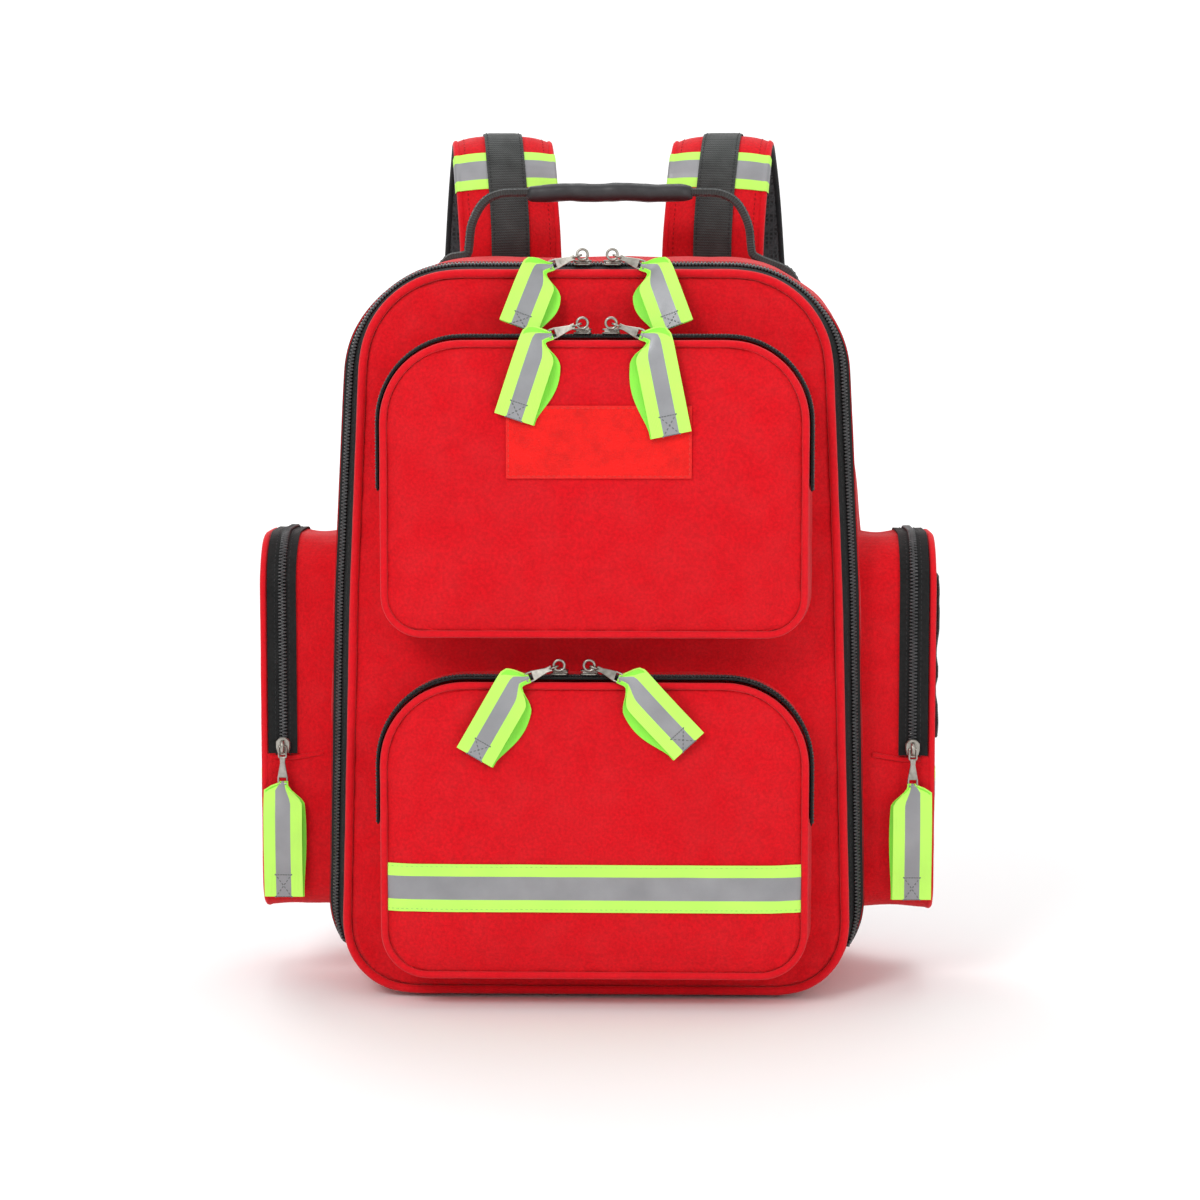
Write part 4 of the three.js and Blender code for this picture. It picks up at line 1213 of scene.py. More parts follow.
def build_reflective_band(face):
    """The strip of reflective tape across the lower pocket."""
    low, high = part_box("reflective_band")
    xs = np.linspace(low[0], high[0], 60)
    heights = np.array([0, 0.12, 0.245, 0.255, 0.5, 0.745, 0.755, 0.88, 1.0]) * (high[2] - low[2]) + low[2]
    tape = [LIME, SILVER]
    band = laid_strip("lower_pocket_band", face, xs, heights, STRIPES, tape, 0.7 * MM, "front_door")
    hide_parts("reflective_band")
    for number, z in enumerate((low[2] + 1.6 * MM, high[2] - 1.6 * MM)):
        name, line = f"lower_pocket_band_seam_{number}", [(low[0], z), (high[0], z)]
        seam = laid_seam(name, face, line, "front_door", LIME_THREAD, closed=False, lift=1.0 * MM)


def build_badge_patch(face):
    """The empty hook-and-loop field on the upper pocket, hemmed and stitched round."""
    low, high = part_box("name_badge_patch")
    x0, x1, z0, z1 = low[0], high[0], low[2], high[2]
    edge = 1.5 * MM
    xs = np.concatenate([[x0], np.linspace(x0 + edge, x1 - edge, 34), [x1]])
    zs = np.concatenate([[z0], np.linspace(z0 + edge, z1 - edge, 15), [z1]])
    slots = np.zeros((len(zs) - 1, len(xs) - 1), int)
    slots[[0, -1], :] = 1
    slots[:, [0, -1]] = 1
    patch = laid_strip("badge_patch", face, xs, zs, slots, [LOOP_PILE, PATCH_EDGE], 1.5 * MM, "upper_flap")
    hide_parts("name_badge_patch")
    corners = box_corners(x0 + edge, x1 - edge, z0 + edge, z1 - edge)
    seam = laid_seam("badge_patch_seam", face, corners, "upper_flap", PATCH_THREAD, lift=1.9 * MM)


def build_side_trim(prefix, pocket, face):
    """The reflective strip under a side pocket's split."""
    xs = np.linspace(-pocket.half + 1.5 * MM, pocket.half - 1.5 * MM, 26)
    top = pocket.split - 8.5 * MM
    heights = top - np.array([25, 22, 18.8, 18.6, 12.5, 6.4, 6.2, 3, 0]) * MM
    band = laid_strip(f"{prefix}_band", face, xs, heights, STRIPES, [LIME, SILVER], 0.7 * MM, "bag")


def build_wall_seam(pocket):
    """The seam across a side pocket's front and back walls, level with the ends of its zip."""
    z = pocket.split - 1 * MM
    for number, side in enumerate((-1, 1)):
        start = (side * (pocket.half + 0.2 * MM), pocket.front + 8 * MM, z)
        middle = (side * (pocket.half - 0.6 * MM), pocket.front + 20 * MM, z - 0.4 * MM)
        end = (side * (pocket.half - 0.4 * MM), pocket.front + 38 * MM, z + 2.5 * MM)
        path = Path(smooth_curve([start, middle, end], 2 * MM), (side, 0, 0))
        ridge = sweep(f"{pocket.prefix}_wall_seam_{number}", path, flat_section(3 * MM, 2 * MM), RED)
        fix(place(ridge, pocket.turn), pocket.body)


def build_card_holder(pocket, face):
    """A clear-fronted holder bound in black, open at the top."""
    low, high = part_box("card_holder")
    half, bottom, top = high[1], low[2], high[2]
    xs, zs = np.linspace(-half, half, 20), np.linspace(bottom, top, 26)
    back = laid_strip("card_holder_back", face, xs, zs, 0, [MESH], 0.8 * MM, pocket.flap_body)
    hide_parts("card_holder")
    xs = np.linspace(-half + 3 * MM, half - 3 * MM, 20)
    zs = np.linspace(bottom + 3 * MM, top - 6 * MM, 26)
    film = laid_strip("card_holder_window", face, xs, zs, 0, [FILM], 0.3 * MM, pocket.flap_body, 1.6 * MM)
    corners = box_corners(-half + 2 * MM, half - 2 * MM, bottom + 2 * MM, top - 2 * MM)
    line = spaced(np.array(corners), 3 * MM)
    path = Path(face.lay(line[:, 0], line[:, 1], 1.6 * MM), (0, -1, 0), closed=True)
    binding = sweep("card_holder_binding", path, flat_section(6 * MM, 1.8 * MM), BLACK_WEBBING)
    fix(place(binding, pocket.turn), pocket.flap_body)


# ================================================================ sliders and pulls


def prism(name, outline, low, high, bevel):
    """A plate with bevelled edges. outline is in (x, y), anticlockwise from above."""
    plan = np.array(outline, float)
    normals = outward(plan)
    levels = [(low, -bevel), (low + bevel, 0), (high - bevel, 0), (high, -bevel)]
    points = [np.column_stack([plan + normals * grow, np.full(len(plan), z)]) for z, grow in levels]
    count = len(plan)
    faces = [tuple(f) for f in grid_faces(4, count, wrap=True)]
    faces += [tuple(range(count))[::-1], tuple(range(3 * count, 4 * count))]
    return mesh_object(name, np.vstack(points), faces, NICKEL, sharp=25)


def rod(name, points, radius, closed=False, out=(0.3, 0.2, 1), squash=(1, 1), material=NICKEL):
    """A round wire or bar along points. squash flattens it (across, out)."""
    path = Path(np.array(points, float), out, closed=closed)
    return sweep(name, path, round_section(radius, 10) * squash, material, sharp=60)


def ring_points(centre, radius, first, second):
    """A circle about a centre in the plane of two directions."""
    a = np.arange(28) * 2 * math.pi / 28
    centre, first, second = (np.array(v, float) for v in (centre, first, second))
    return centre + radius * (np.cos(a)[:, None] * first + np.sin(a)[:, None] * second)


def upright(outline):
    """Points (x, z) on the plane y = 0."""
    return at_depth(outline, 0)


def slider_parts(name):
    """A coil zip's slider, lying along x with its underside at z = 0."""
    l, w, h = 5.5 * MM, 4.25 * MM, 3.2 * MM
    corners = [(-l, -w * 0.6), (-l * 0.2, -w), (l * 0.6, -w), (l, -w * 0.5)]
    plan = relaxed(spaced(corners + [(x, -y) for x, y in reversed(corners)], 0.9 * MM), 2)
    lower = prism(name, plan, 0, 1.1 * MM, 0.25 * MM)
    upper = prism(name, plan, h - 1.1 * MM, h, 0.3 * MM)
    wedge = [(l * 0.1, -w * 0.3), (l * 0.9, -w * 0.2), (l * 0.9, w * 0.2), (l * 0.1, w * 0.3)]
    post_plan = relaxed(spaced(wedge, 0.7 * MM), 1)
    post = prism(name, post_plan, 0.4 * MM, h - 0.4 * MM, 0.1 * MM)
    lips = []
    for side in (-1, 1):
        line = [(-l * 0.7, side * w * 0.78), (-l * 0.1, side * w * 0.97), (l * 0.6, side * w * 0.97)]
        for z, lift in ((1.1 * MM, 0.25 * MM), (h - 1.1 * MM, -0.25 * MM)):
            lips.append(rod(name, [(x, y, z + lift) for x, y in line], 0.3 * MM))
    return [lower, upper, post] + lips


def tab_parts(name, start):
    """The tab of a pull, hanging down from z = -start: a waisted plate that ends in a slotted foot."""
    half, neck, length, thick = 3.25 * MM, 1.8 * MM, 17 * MM, 1.3 * MM
    shoulder = -length * 0.8
    side = [(neck, 0.6 * MM), (neck * 0.85, -3 * MM), (half, shoulder + 1.2 * MM)]
    plan = [(-x, y) for x, y in side] + side[::-1]
    waist = prism(name, spaced(plan, 0.8 * MM), -thick / 2, thick / 2, 0.25 * MM)
    plan = [(-0.8 * MM, -3 * MM), (0.8 * MM, -3 * MM), (1.5 * MM, -9.5 * MM), (-1.5 * MM, -9.5 * MM)]
    low, high = thick / 2 - 0.1 * MM, thick / 2 + 0.25 * MM
    rib = prism(name, relaxed(spaced(plan, 0.7 * MM), 2), low, high, 0.12 * MM)
    wire = half - 0.55 * MM
    corners = box_corners(-wire, wire, -length + 0.6 * MM, shoulder + 2.4 * MM)
    line = relaxed(spaced(corners, 0.6 * MM), 2)
    line = np.column_stack([line, np.zeros(len(line))])
    foot = rod(name, line, 0.65 * MM, closed=True, out=(0, 0, 1))
    made = merge(name, [waist, rib, foot])
    made.data.transform(Matrix.Rotation(math.radians(90), 4, "X"))
    made.data.transform(Matrix.Translation((0, 0, -start)))
    return made


LINK_ANGLE = math.radians(70)  # how far a front pull's link leans from straight down
TAB_TILT = math.radians(25)  # how far its tab stands out in front
EYE = Vector((0, -7.45, 6.4)) * MM  # the middle of a front slider's eye
EYE_RADIUS, LINK_RADIUS = 3.2 * MM, 2.4 * MM
LINK_REACH = EYE_RADIUS + LINK_RADIUS


def build_top_slider(p, outward_sign):
    """A slider on top of a panel, with an upright eye; its tab lies outwards along the zip."""
    low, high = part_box(f"{p}_slider")
    origin = Vector(((low[0] + high[0]) / 2, high[1] - 4.25 * MM, low[2]))
    parts = slider_parts(f"{p}_slider_metal")
    circle = ring_points(EYE, EYE_RADIUS, (1, 0, 0), (0, 0, 1))
    eye = rod("eye", circle, 0.8 * MM, closed=True, out=(0, 1, 0))
    arm = [(0, -3.2 * MM, 2.6 * MM), (0, -5 * MM, 3.5 * MM), (0, EYE.y, 3.4 * MM)]
    stem = rod("stem", arm, 0.85 * MM, squash=(1.1, 0.8))
    ridge = [(3.6 * MM, 0, 3.1 * MM), (0, -0.4 * MM, 3.7 * MM), (0, -3.4 * MM, 3.3 * MM)]
    spine = rod("spine", ridge, 0.9 * MM)
    slider = merge(f"{p}_slider_metal", parts + [eye, stem, spine])
    slider.data.transform(Matrix.Translation(origin))
    fix(slider, f"{p}_zip_slider", f"{p}_slider")

    pivot = origin + EYE
    rim = Vector((outward_sign * math.sin(LINK_ANGLE), 0, -math.cos(LINK_ANGLE)))
    circle = ring_points(rim * EYE_RADIUS, LINK_RADIUS, rim, (0, 1, 0))
    link = rod("link", circle, 0.7 * MM, closed=True, out=(0.1, 0, 0.3))
    turn = Matrix.Rotation(-outward_sign * LINK_ANGLE, 4, "Y") @ Matrix.Rotation(-TAB_TILT, 4, "X")
    tab = tab_parts("tab", 0)
    tab.data.transform(Matrix.Translation(rim * LINK_REACH) @ turn)
    metal = merge(f"{p}_tab_metal", [link, tab])
    metal.data.transform(Matrix.Translation(pivot))
    fix(metal, f"{p}_pull", f"{p}_pull_tab")
    slot = pivot + rim * LINK_REACH + turn.to_3x3() @ Vector((0, 0, -14.6 * MM))
    build_pull_tape(p, slot, turn.to_3x3() @ Vector((1, 0, 0)), -outward_sign)


def build_side_slider(p):
    """A slider that runs up a side pocket's front wall; its tab hangs from the bridge."""
    low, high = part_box(f"{p}_slider")
    origin = Vector(((low[0] + high[0]) / 2, high[1], (low[2] + high[2]) / 2))
    parts = slider_parts(f"{p}_slider_metal")
    t = np.linspace(0, math.pi, 13)
    arch = np.stack([-3.6 * MM * np.cos(t), 0 * t, 3.0 * MM + 3.9 * MM * np.sin(t) ** 0.7], axis=1)
    bridge = rod("bridge", arch, 0.85 * MM, out=(0, 1, 0), squash=(1.0, 1.5))
    slider = merge(f"{p}_slider_metal", parts + [bridge])
    stand = Matrix.Rotation(math.radians(90), 4, "X") @ Matrix.Rotation(math.radians(90), 4, "Z")
    slider.data.transform(Matrix.Translation(origin) @ stand)
    fix(slider, f"{p}_zip_slider", f"{p}_slider")

    pivot = origin + Vector((0, -4.7 * MM, 0))
    line = relaxed(spaced(box_corners(-2.3 * MM, 2.3 * MM, -6.6 * MM, 0.2 * MM), 0.6 * MM), 2)
    link = rod("link", upright(line), 0.65 * MM, closed=True, out=(0, 1, 0))
    metal = merge(f"{p}_tab_metal", [link, tab_parts("tab", 6.8 * MM)])
    metal.data.transform(Matrix.Translation(pivot))
    fix(metal, f"{p}_pull", f"{p}_pull_tab")
    slot = pivot + Vector((0, 0, -21.4 * MM))
    build_pull_tape(p, slot, Vector((1, 0, 0)), 1 if p.startswith("left") else -1)


def tape_frame(node):
    """The CAD tape's top middle, its direction down, its direction across and its length."""
    co = node_vertices(node)
    middle = co.mean(axis=0)
    vectors = np.linalg.eigh(np.cov((co - middle).T))[1]
    across, down = vectors[:, 1], vectors[:, 2]
    if np.ptp((co - middle) @ across) > np.ptp((co - middle) @ down):
        across, down = down, across
    down *= -np.sign(down[2])
    across *= np.sign(across[0])
    reach = (co - middle) @ down
    side = (co - middle) @ across
    front = np.cross(down, across)
    face = (co - middle) @ front
    top = middle + down * reach.min() + across * (side.max() + side.min()) / 2
    top += front * (face.max() + face.min()) / 2
    return top, down, across, np.ptp(reach)


def build_pull_tape(p, slot, slot_across, inwards):
    """A loop of reflective ribbon through the tab's slot, its two layers sewn at their end."""
    top, down, across, length = tape_frame(f"{p}_pull_tape")
    front = np.cross(down, across)
    slot, slot_across = np.array(slot), np.array(slot_across)
    if slot_across @ across < 0:
        slot_across = -slot_across
    neck = np.linalg.norm(top - slot)
    v = np.concatenate([np.linspace(-neck, 0, 8)[:-1], np.linspace(0, length, 26)])
    u = np.array([-12, -10.4, -8, -4.9, -4.7, -2, 0, 2, 4.7, 4.9, 8, 10.4, 12]) / 12
    stripes = [0, 0, 0, 0, 1, 1, 1, 1, 0, 0, 0, 0]
    rng = np.random.default_rng(sum(map(ord, p)))
    lean, curl = rng.uniform(-0.4, 0.4), rng.uniform(0.5, 1.1)
    narrow, full = 2.6 * MM, TAPE_WIDTH / 2
    share = (1 + np.minimum(v, 0) / neck)[:, None]
    centre = np.where((v < 0)[:, None], slot + (top - slot) * share, top + down * v[:, None])
    wide = unit(slot_across + (across - slot_across) * smoothstep(v, -neck, 8 * MM)[:, None])
    out = unit(np.cross(down, wide))
    rise = np.clip(v / length, 0, 1)
    arch = np.sin(math.pi * rise)[:, None]
    belly = (0.7 + 2.5 * np.sin(math.pi * rise**0.8) ** 1.2) * MM
    inner_half = narrow + (full - narrow) * smoothstep(v, -neck * 0.4, 12 * MM)
    outer_half = narrow + (full - narrow) * smoothstep(v, -neck * 0.95, 2.5 * MM)
    half = np.where(u[None] * inwards > 0, inner_half[:, None], outer_half[:, None])
    bulge = (1.2 if "side" in p else 5.5) * MM * np.sin(math.pi * np.clip(rise * 1.08, 0, 1)) ** 1.3
    back_shift = inwards * (0.8 * MM + bulge * smoothstep(v, -neck, 12 * MM))
    gather = 1.6 * MM * (1 - smoothstep(v, -neck * 0.5, 20 * MM))[:, None]
    parts = []
    for layer, sign in (("front", 1), ("back", -1)):
        lift = sign * belly[:, None] + (0.5 * lean * MM) * u[None] * rise[:, None]
        lift = lift - sign * gather * u[None] ** 2 + sign * curl * 0.35 * MM * u[None] ** 2 * arch
        spread = u[None] * half + (0.0 if sign > 0 else back_shift[:, None])
        points = centre[:, None] + wide[:, None] * spread[..., None] + out[:, None] * lift[..., None]
        uv = np.stack(np.broadcast_arrays(u[None] * full, v[:, None]), axis=-1).reshape(-1, 2)
        faces = facing(grid_faces(len(v), len(u)), sign > 0)
        slots = np.tile(stripes, len(v) - 1)
        name, looks = f"{p}_tape_{layer}", [LIME, SILVER, LIME_INNER]
        obj = mesh_object(name, points.reshape(-1, 3), faces, looks, uv, slots)
        modify(obj, "SOLIDIFY", thickness=0.5 * MM, offset=-1, material_offset=2)
        parts.append(settle(obj))
        if sign > 0:
            cross = points[-6:, 3:10]
    tape = fix(merge(f"{p}_tape", parts), f"{p}_pull", f"{p}_pull_tape")
    low, high = cross[0], cross[-1]
    lines = [(low[0], high[-1]), (low[-1], high[0]), (high[0], high[-1]), (low[0], low[-1])]
    threads = []
    for a, b in lines:
        path = Path(np.linspace(a, b, 8) + front * 0.1 * MM, front)
        threads.append(stitches("thread", path, None, GREY_THREAD, pitch=2.4 * MM))
    fix(merge(f"{p}_tape_stitch", threads), f"{p}_pull")


# ================================================================ handle


def build_handle():
    """A webbing handle with a moulded grip. Its feet run along the top and into the seam."""
    low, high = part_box("handle_webbing")
    grip_low, grip_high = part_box("handle_grip")
    middle, y = (low[0] + high[0]) / 2, (low[1] + high[1]) / 2
    pivot = 462 * MM
    grip_z = (grip_low[2] + grip_high[2]) / 2
    half, rise = (high[0] - low[0]) / 2 - 2 * MM, grip_z - pivot
    side = [(32, 1.0), (19, 0.97), (9, 0.8), (2, 0.42), (0, 0)]  # mm in from the foot, share of the rise
    for sign, name in ((-1, "left"), (1, "right")):
        reach = 26 * MM if sign > 0 else 15 * MM
        line = [(middle + sign * 30 * MM, y, pivot + rise)]
        line += [(middle + sign * (half - inset * MM), y, pivot + rise * share) for inset, share in side]
        line.append((middle + sign * (half + 1.0 * MM), y, pivot - 5 * MM))
        steps = (6 * MM, 2.6 * MM), (reach - 3 * MM, 2.2 * MM), (reach + 3 * MM, -2.5 * MM)
        for run, lift in steps:
            x = middle + sign * (half + run)
            line.append((x, y, gusset_top(x, y) + lift))
        path = Path(smooth_curve(line, 2.2 * MM), (sign, 0, 0.6))
        leg = sweep(f"handle_{name}_leg", path, flat_section(14 * MM, 5 * MM, edge=0.6), BLACK_WEBBING)
        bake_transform(leg)
        for edge in (-1, 1):
            seam = path.shifted(edge * 4.6 * MM, 2.5 * MM)
            trim = stitches(f"handle_{name}_seam_{edge + 1}", seam, None, BLACK_THREAD)
            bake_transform(trim)
        if sign < 0:
            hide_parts("handle_webbing")

    x = np.linspace(-1, 1, 57)
    grip_half = (grip_high[0] - grip_low[0]) / 2
    end = np.clip((1 - np.abs(x)) * grip_half / (9 * MM), 0, 1)
    swell = 0.93 + 0.09 * (1 - x**2) + 0.018 * np.sin(x * 17 + 0.6) + 0.012 * np.sin(x * 31)
    thick = swell * (0.6 + 0.4 * np.sqrt(1 - (1 - end) ** 2))
    sag = -0.8 * MM * x**2 + 0.35 * MM * np.sin(x * 9)
    line = np.stack([middle + x * grip_half, np.full(len(x), y), grip_z + sag], axis=1)
    section = rounded_box(9.6 * MM, -5.6 * MM, 5.6 * MM, 4.6 * MM, 4.6 * MM, 1.6 * MM)
    grip = sweep("handle_grip_pad", Path(line, (0, 0, 1)), section, GRIP_RUBBER, scale=thick)
    fix(grip, "carry_handle", "handle_grip")


def gusset_top(x, y):
    """The height of the top gusset at a point."""
    ring = body_outline(y)
    upper = ring[ring[:, 1] > 200 * MM]
    order = np.argsort(upper[:, 0])
    return float(np.interp(x, upper[order, 0], upper[order, 1]))


# ================================================================ shoulder straps

STRAP_ROUTE = [
    (66, 83.5, 440),
    (66, 82.5, 453),
    (67, 83, 476),
    (70, 92, 510),
    (73, 112, 530),
    (76, 138, 523),
    (80, 158, 493),
    (84, 168, 440),
    (88, 168, 380),
    (93, 161, 310),
    (100, 147, 240),
    (106, 131, 186),
]
LOCK = (109.5, 121, 158)
LOCK_TILT = -0.29
LOWER_ROUTE = [(110.2, 119.5, 153), (111.5, 116.2, 142), (120, 104, 105), (130, 89, 66), (136, 80, 38)]
TAIL_ROUTE = [(109.5, 123.5, 156), (110.5, 123.5, 140), (112, 121, 112), (112, 119, 84)]


def on_side(route, sign):
    """A right-hand route in metres, or its mirror image for the left strap."""
    return [(sign * x * MM + STRAP_SHIFT, y * MM, z * MM) for x, y, z in route]


def strap_path(sign):
    """The strap's middle line. Its out side points away from the wearer's shoulder."""
    points = smooth_curve(on_side(STRAP_ROUTE, sign), 5 * MM)
    away = points - np.array([0, 118, 400]) * MM
    away[:, 0] = 0
    return Path(points, away)


def pillow_half(x, thickness):
    """Half the thickness of a strap's padding, from its middle, x = 0, to its edges, x = -1 and 1."""
    return thickness / 2 * (0.3 + 0.7 * (1 - np.abs(x) ** 3.2))


def pillow_section(width, thickness, columns):
    x = np.linspace(-1, 1, columns + 1)
    half = pillow_half(x, thickness)
    upper = np.stack([x * width / 2, half], axis=1)
    lower = np.stack([x[::-1] * width / 2, -half[::-1]], axis=1)
    return np.concatenate([upper, lower])


def build_strap(side, sign):
    """A padded strap: red outside, mesh inside, bound edges, webbing down its middle."""
    body = f"{side}_strap"
    path = strap_path(sign)
    total = path.length[-1]
    width, thickness, columns = 62 * MM, 12 * MM, 14
    taper = 1 - 0.42 * smoothstep(path.length, total - 42 * MM, total)
    thin = 1 - 0.45 * smoothstep(path.length, total - 40 * MM, total)
    thin = thin - 0.45 * smoothstep(-path.length, -26 * MM, -8 * MM)
    wave = 1 + 0.05 * ripple(path.points, 60 * MM, 91)
    scale = np.stack([taper, thin * wave], axis=1)
    slots = [0] * columns + [0] + [1] * columns + [0]
    section = pillow_section(width, thickness, columns)
    pad = sweep(f"{side}_strap_pad", path, section, [RED, MESH], scale=scale, slots=slots, sharp=80)
    fix(pad, body, f"{side}_shoulder_strap")

    for edge in (-1, 1):
        rim = path.shifted((edge * width / 2 * taper)[:, None])
        section = round_section(1, 10) * (2.2 * MM, 2.9 * MM)
        inside = (section + np.roll(section, -1, axis=0))[:, 1] < 0.1 * MM
        name = f"{side}_strap_binding_{edge + 1}"
        binding = sweep(name, rim, section, [RED_PIPING, BLACK_CLOTH], slots=inside.astype(int), sharp=80)
        fix(binding, body)
        seam_from_middle = edge * (width / 2 - 5 * MM) * taper
        inner = path.shifted(seam_from_middle[:, None], (thickness / 2 * 0.62 * thin)[:, None])
        stitches(f"{side}_strap_seam_{edge + 1}", inner, body, RED_THREAD)

    lifted = path.shifted(0, (thickness / 2 * thin * wave + 1.1 * MM)[:, None])
    tape = sweep(f"{side}_strap_webbing", lifted, flat_section(WEBBING_WIDTH, 1.7 * MM), BLACK_WEBBING)
    fix(tape, body)
    for edge in (-1, 1):
        seam = lifted.shifted(edge * 10.6 * MM, 0.85 * MM)
        stitches(f"{side}_strap_webbing_seam_{edge + 1}", seam, body, BLACK_THREAD)
    build_strap_bands(side, path, width, thickness)
    build_lock(side, sign)


def build_strap_bands(side, path, width, thickness):
    """The two reflective tapes that are sewn across a strap and wrap over its bound edges."""
    for number, start in enumerate((59 * MM, 265 * MM)):
        keep = (path.length >= start) & (path.length <= start + 27 * MM)
        short = path.cut(keep)
        fine = Path(spaced(short.points, 1.25 * MM, closed=False), (0, 0, 1))
        nearest = np.argmin(np.linalg.norm(fine.points[:, None] - short.points[None], axis=2), axis=1)
        fine = Path(fine.points, short.out[nearest])
        share = fine.length / fine.length[-1]
        middle = (share[:-1] + share[1:]) / 2
        grey = ((middle > 0.27) & (middle < 0.73)).astype(int)[:, None]
        half = np.concatenate([np.linspace(0, 0.86, 9), [0.9, 0.93, 0.955, 0.978, 1]])
        x = np.concatenate([-half[:0:-1], half])
        over = pillow_half(x, thickness) + 0.5 * MM
        wrap = np.interp(np.abs(x), (0.84, 0.88, 0.94, 0.978, 1), (0, 3.6, 3.9, 3.2, -0.4))
        over = np.where(np.abs(x) > 0.99, wrap * MM, np.maximum(over, wrap * MM))
        upper = np.stack([x * (width / 2 + 2.9 * MM), over], axis=1)
        section = np.concatenate([upper, upper[::-1] - (0, 0.8 * MM)])
        band = sweep(f"{side}_strap_band_{number}", fine, section, [LIME, SILVER], slots=grey, sharp=50)
        fix(band, f"{side}_strap")


def build_lock(side, sign):
    """The ladder lock, the loop that holds it, and the webbing that runs through it."""
    body = f"{side}_strap"
    centre = Vector(on_side([LOCK], sign)[0])
    turn = Matrix.Translation(centre) @ Matrix.Rotation(LOCK_TILT, 4, "X")
    outline = relaxed(spaced(box_corners(-15.6 * MM, 15.6 * MM, -10.8 * MM, 10.8 * MM), 1.2 * MM), 3)
    looks = {"out": (0, 1, 0), "material": BLACK_PLASTIC}
    parts = [rod("frame", upright(outline), 2.3 * MM, closed=True, squash=(1.0, 0.95), **looks)]
    for z in (2.8 * MM, -2.8 * MM):
        bar = [(-15 * MM, 0, z), (0, 0.2 * MM, z), (15 * MM, 0, z)]
        parts.append(rod("bar", bar, 1.3 * MM, squash=(1.0, 1.35), **looks))
    lip = [(-15 * MM, 0.8 * MM, -11 * MM), (0, 2.4 * MM, -14.5 * MM), (15 * MM, 0.8 * MM, -11 * MM)]
    parts.append(rod("lip", smooth_curve(lip, 2 * MM), 1.4 * MM, squash=(1.3, 1), **looks))
    lock = merge(f"{side}_lock_frame", parts)
    lock.data.transform(turn)
    fix(lock, body, f"{side}_ladder_lock")

    down = [(0, 5.2, 30), (0, 3.6, 20), (0, 3.0, 13), (0, 0.4, 7.0)]
    up = [(0, -3.0, 10.5), (0, -3.2, 18), (0, -3.4, 27)]
    line = smooth_curve([turn @ (Vector(p) * MM) for p in down + up], 1.5 * MM)
    strip = flat_section(WEBBING_WIDTH, 1.5 * MM)
    loop = sweep(f"{side}_lock_loop", Path(line, (0, 1, 0.2)), strip, BLACK_WEBBING)
    fix(loop, body)

    strip = flat_section(WEBBING_WIDTH, 1.6 * MM)
    lower = Path(smooth_curve(on_side(LOWER_ROUTE, sign), 4 * MM), (0, 1, 0.3))
    run = sweep(f"{side}_lower_strap", lower, strip, BLACK_WEBBING)
    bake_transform(run)
    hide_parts(f"{side}_lower_webbing")
    tail = Path(smooth_curve(on_side(TAIL_ROUTE, sign), 3 * MM), (0, 1, 0.1))
    fix(sweep(f"{side}_strap_tail", tail, strip, BLACK_WEBBING), body)
    build_anchor(side, sign, lower.points[-1])


def build_anchor(side, sign, base):
    """The red triangle that is sewn into the back seam and holds the lower webbing's end."""
    rows, cols = 10, 10
    t = np.linspace(0, 1, rows)[:, None]
    s = np.linspace(-1, 1, cols)[None]
    tip = base + np.array([-sign * 4, 3, 22]) * MM
    foot = np.array([base[0] + sign * 1 * MM, BACK_FACE + 1 * MM, base[2] - 12 * MM])
    middle = foot + (tip - foot) * t[..., None]
    half = (17 - 2.5 * t) * MM
    points = middle + np.stack([s * half, 0 * s * half, 0.25 * s * half * sign], axis=-1)
    points[..., 1] += 1.6 * MM * (1 - s**2)
    anchor = mesh_object(f"{side}_anchor", points.reshape(-1, 3), facing(grid_faces(rows, cols), True), RED)
    thicken(anchor, 2.6 * MM)
    fix(anchor, "bag")


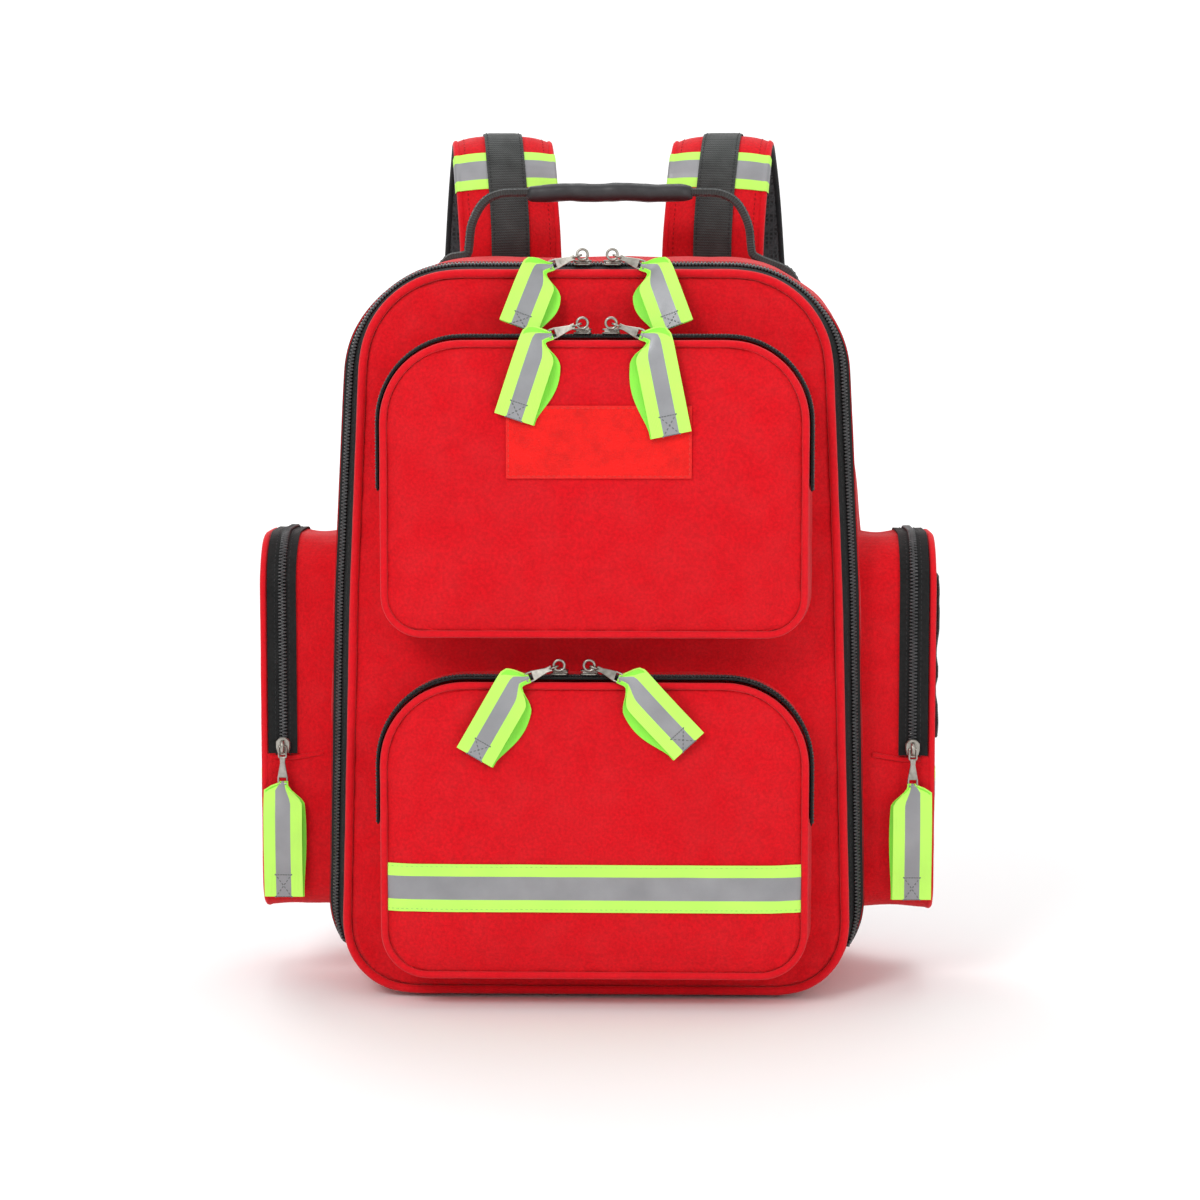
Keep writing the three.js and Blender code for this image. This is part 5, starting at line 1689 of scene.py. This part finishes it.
def build_yoke():
    """The padded cover over the straps' top seam on the back panel, bound round its edge; its box stitching
    is not drawn.
    """
    rows, cols = 14, 56
    xs = np.linspace(STRAP_SHIFT - 110 * MM, STRAP_SHIFT + 110 * MM, cols)
    zs = np.linspace(421 * MM, 450 * MM, rows)
    grid_x, grid_z = np.meshgrid(xs, zs)
    side_edge = np.minimum(grid_x - xs[0], xs[-1] - grid_x)
    edge = np.minimum(side_edge, np.minimum(grid_z - zs[0], zs[-1] - grid_z))
    over_strap = smoothstep(np.abs(np.abs(grid_x - STRAP_SHIFT) - 66 * MM), 42 * MM, 32 * MM)
    y = BACK_FACE + 1.6 * MM + (3 * MM + 8 * MM * over_strap) * (1 - np.exp(-edge / (5 * MM)))
    points = np.stack([grid_x, y, grid_z], axis=-1).reshape(-1, 3)
    yoke = mesh_object("strap_yoke", points, facing(grid_faces(rows, cols), True), RED)
    thicken(yoke, 1.6 * MM)
    fix(yoke, "bag")
    bind_sheet("strap_yoke_binding", points, rows, cols, 6 * MM)


# ================================================================ assembly


def gusset_depth(turn):
    """For a pocket turned to a side: how far in its wall goes to meet the gusset, point by point."""
    sign = 1 if turn > 0 else -1

    def depth(outline):
        out = []
        for x, z in outline:
            ring = body_outline(sign * x)
            half = ring[ring[:, 0] > 0]
            order = np.argsort(half[:, 1])
            wall = np.interp(z, half[order, 1], half[order, 0]) + float(gusset_flare(sign * x, z))
            out.append(1.5 * MM - wall)
        return np.array(out)

    return depth


build_stage()
build_shell()
build_main_zip()
build_door()
build_back()
build_divider()

# a pocket's flare, how far its zip is from its front, and the zip's width
FRONT_ZIP = (FRONT_POCKET_FLARE, 6 * MM, 13 * MM)
SIDE_ZIP = (0, 5 * MM, 17 * MM)
upper = Pocket("upper_pocket", "front_door", "upper_flap", 0, 48 * MM, 24 * MM, *FRONT_ZIP)
lower = Pocket("lower_pocket", "front_door", "lower_flap", 0, 50 * MM, 28 * MM, *FRONT_ZIP)
build_badge_patch(build_pocket(upper, 2.2 * MM, 71))
build_reflective_band(build_pocket(lower, 2.2 * MM, 81))

for side, turn, seed in (("left", -90, 101), ("right", 90, 111)):
    prefix = f"{side}_side_pocket"
    pocket = Pocket(prefix, "bag", f"{side}_side_flap", turn, 32 * MM, 20 * MM, *SIDE_ZIP)
    side_face = build_pocket(pocket, 2 * MM, seed, gusset_depth(turn))
    build_side_trim(prefix, pocket, side_face)
    build_wall_seam(pocket)
    if side == "right":
        build_card_holder(pocket, side_face)
    build_side_slider(f"{side}_side")

for pair in ("main", "upper", "lower"):
    build_top_slider(f"{pair}_left", -1)
    build_top_slider(f"{pair}_right", 1)

build_handle()
build_yoke()
for side, sign in (("left", -1), ("right", 1)):
    build_strap(side, sign)
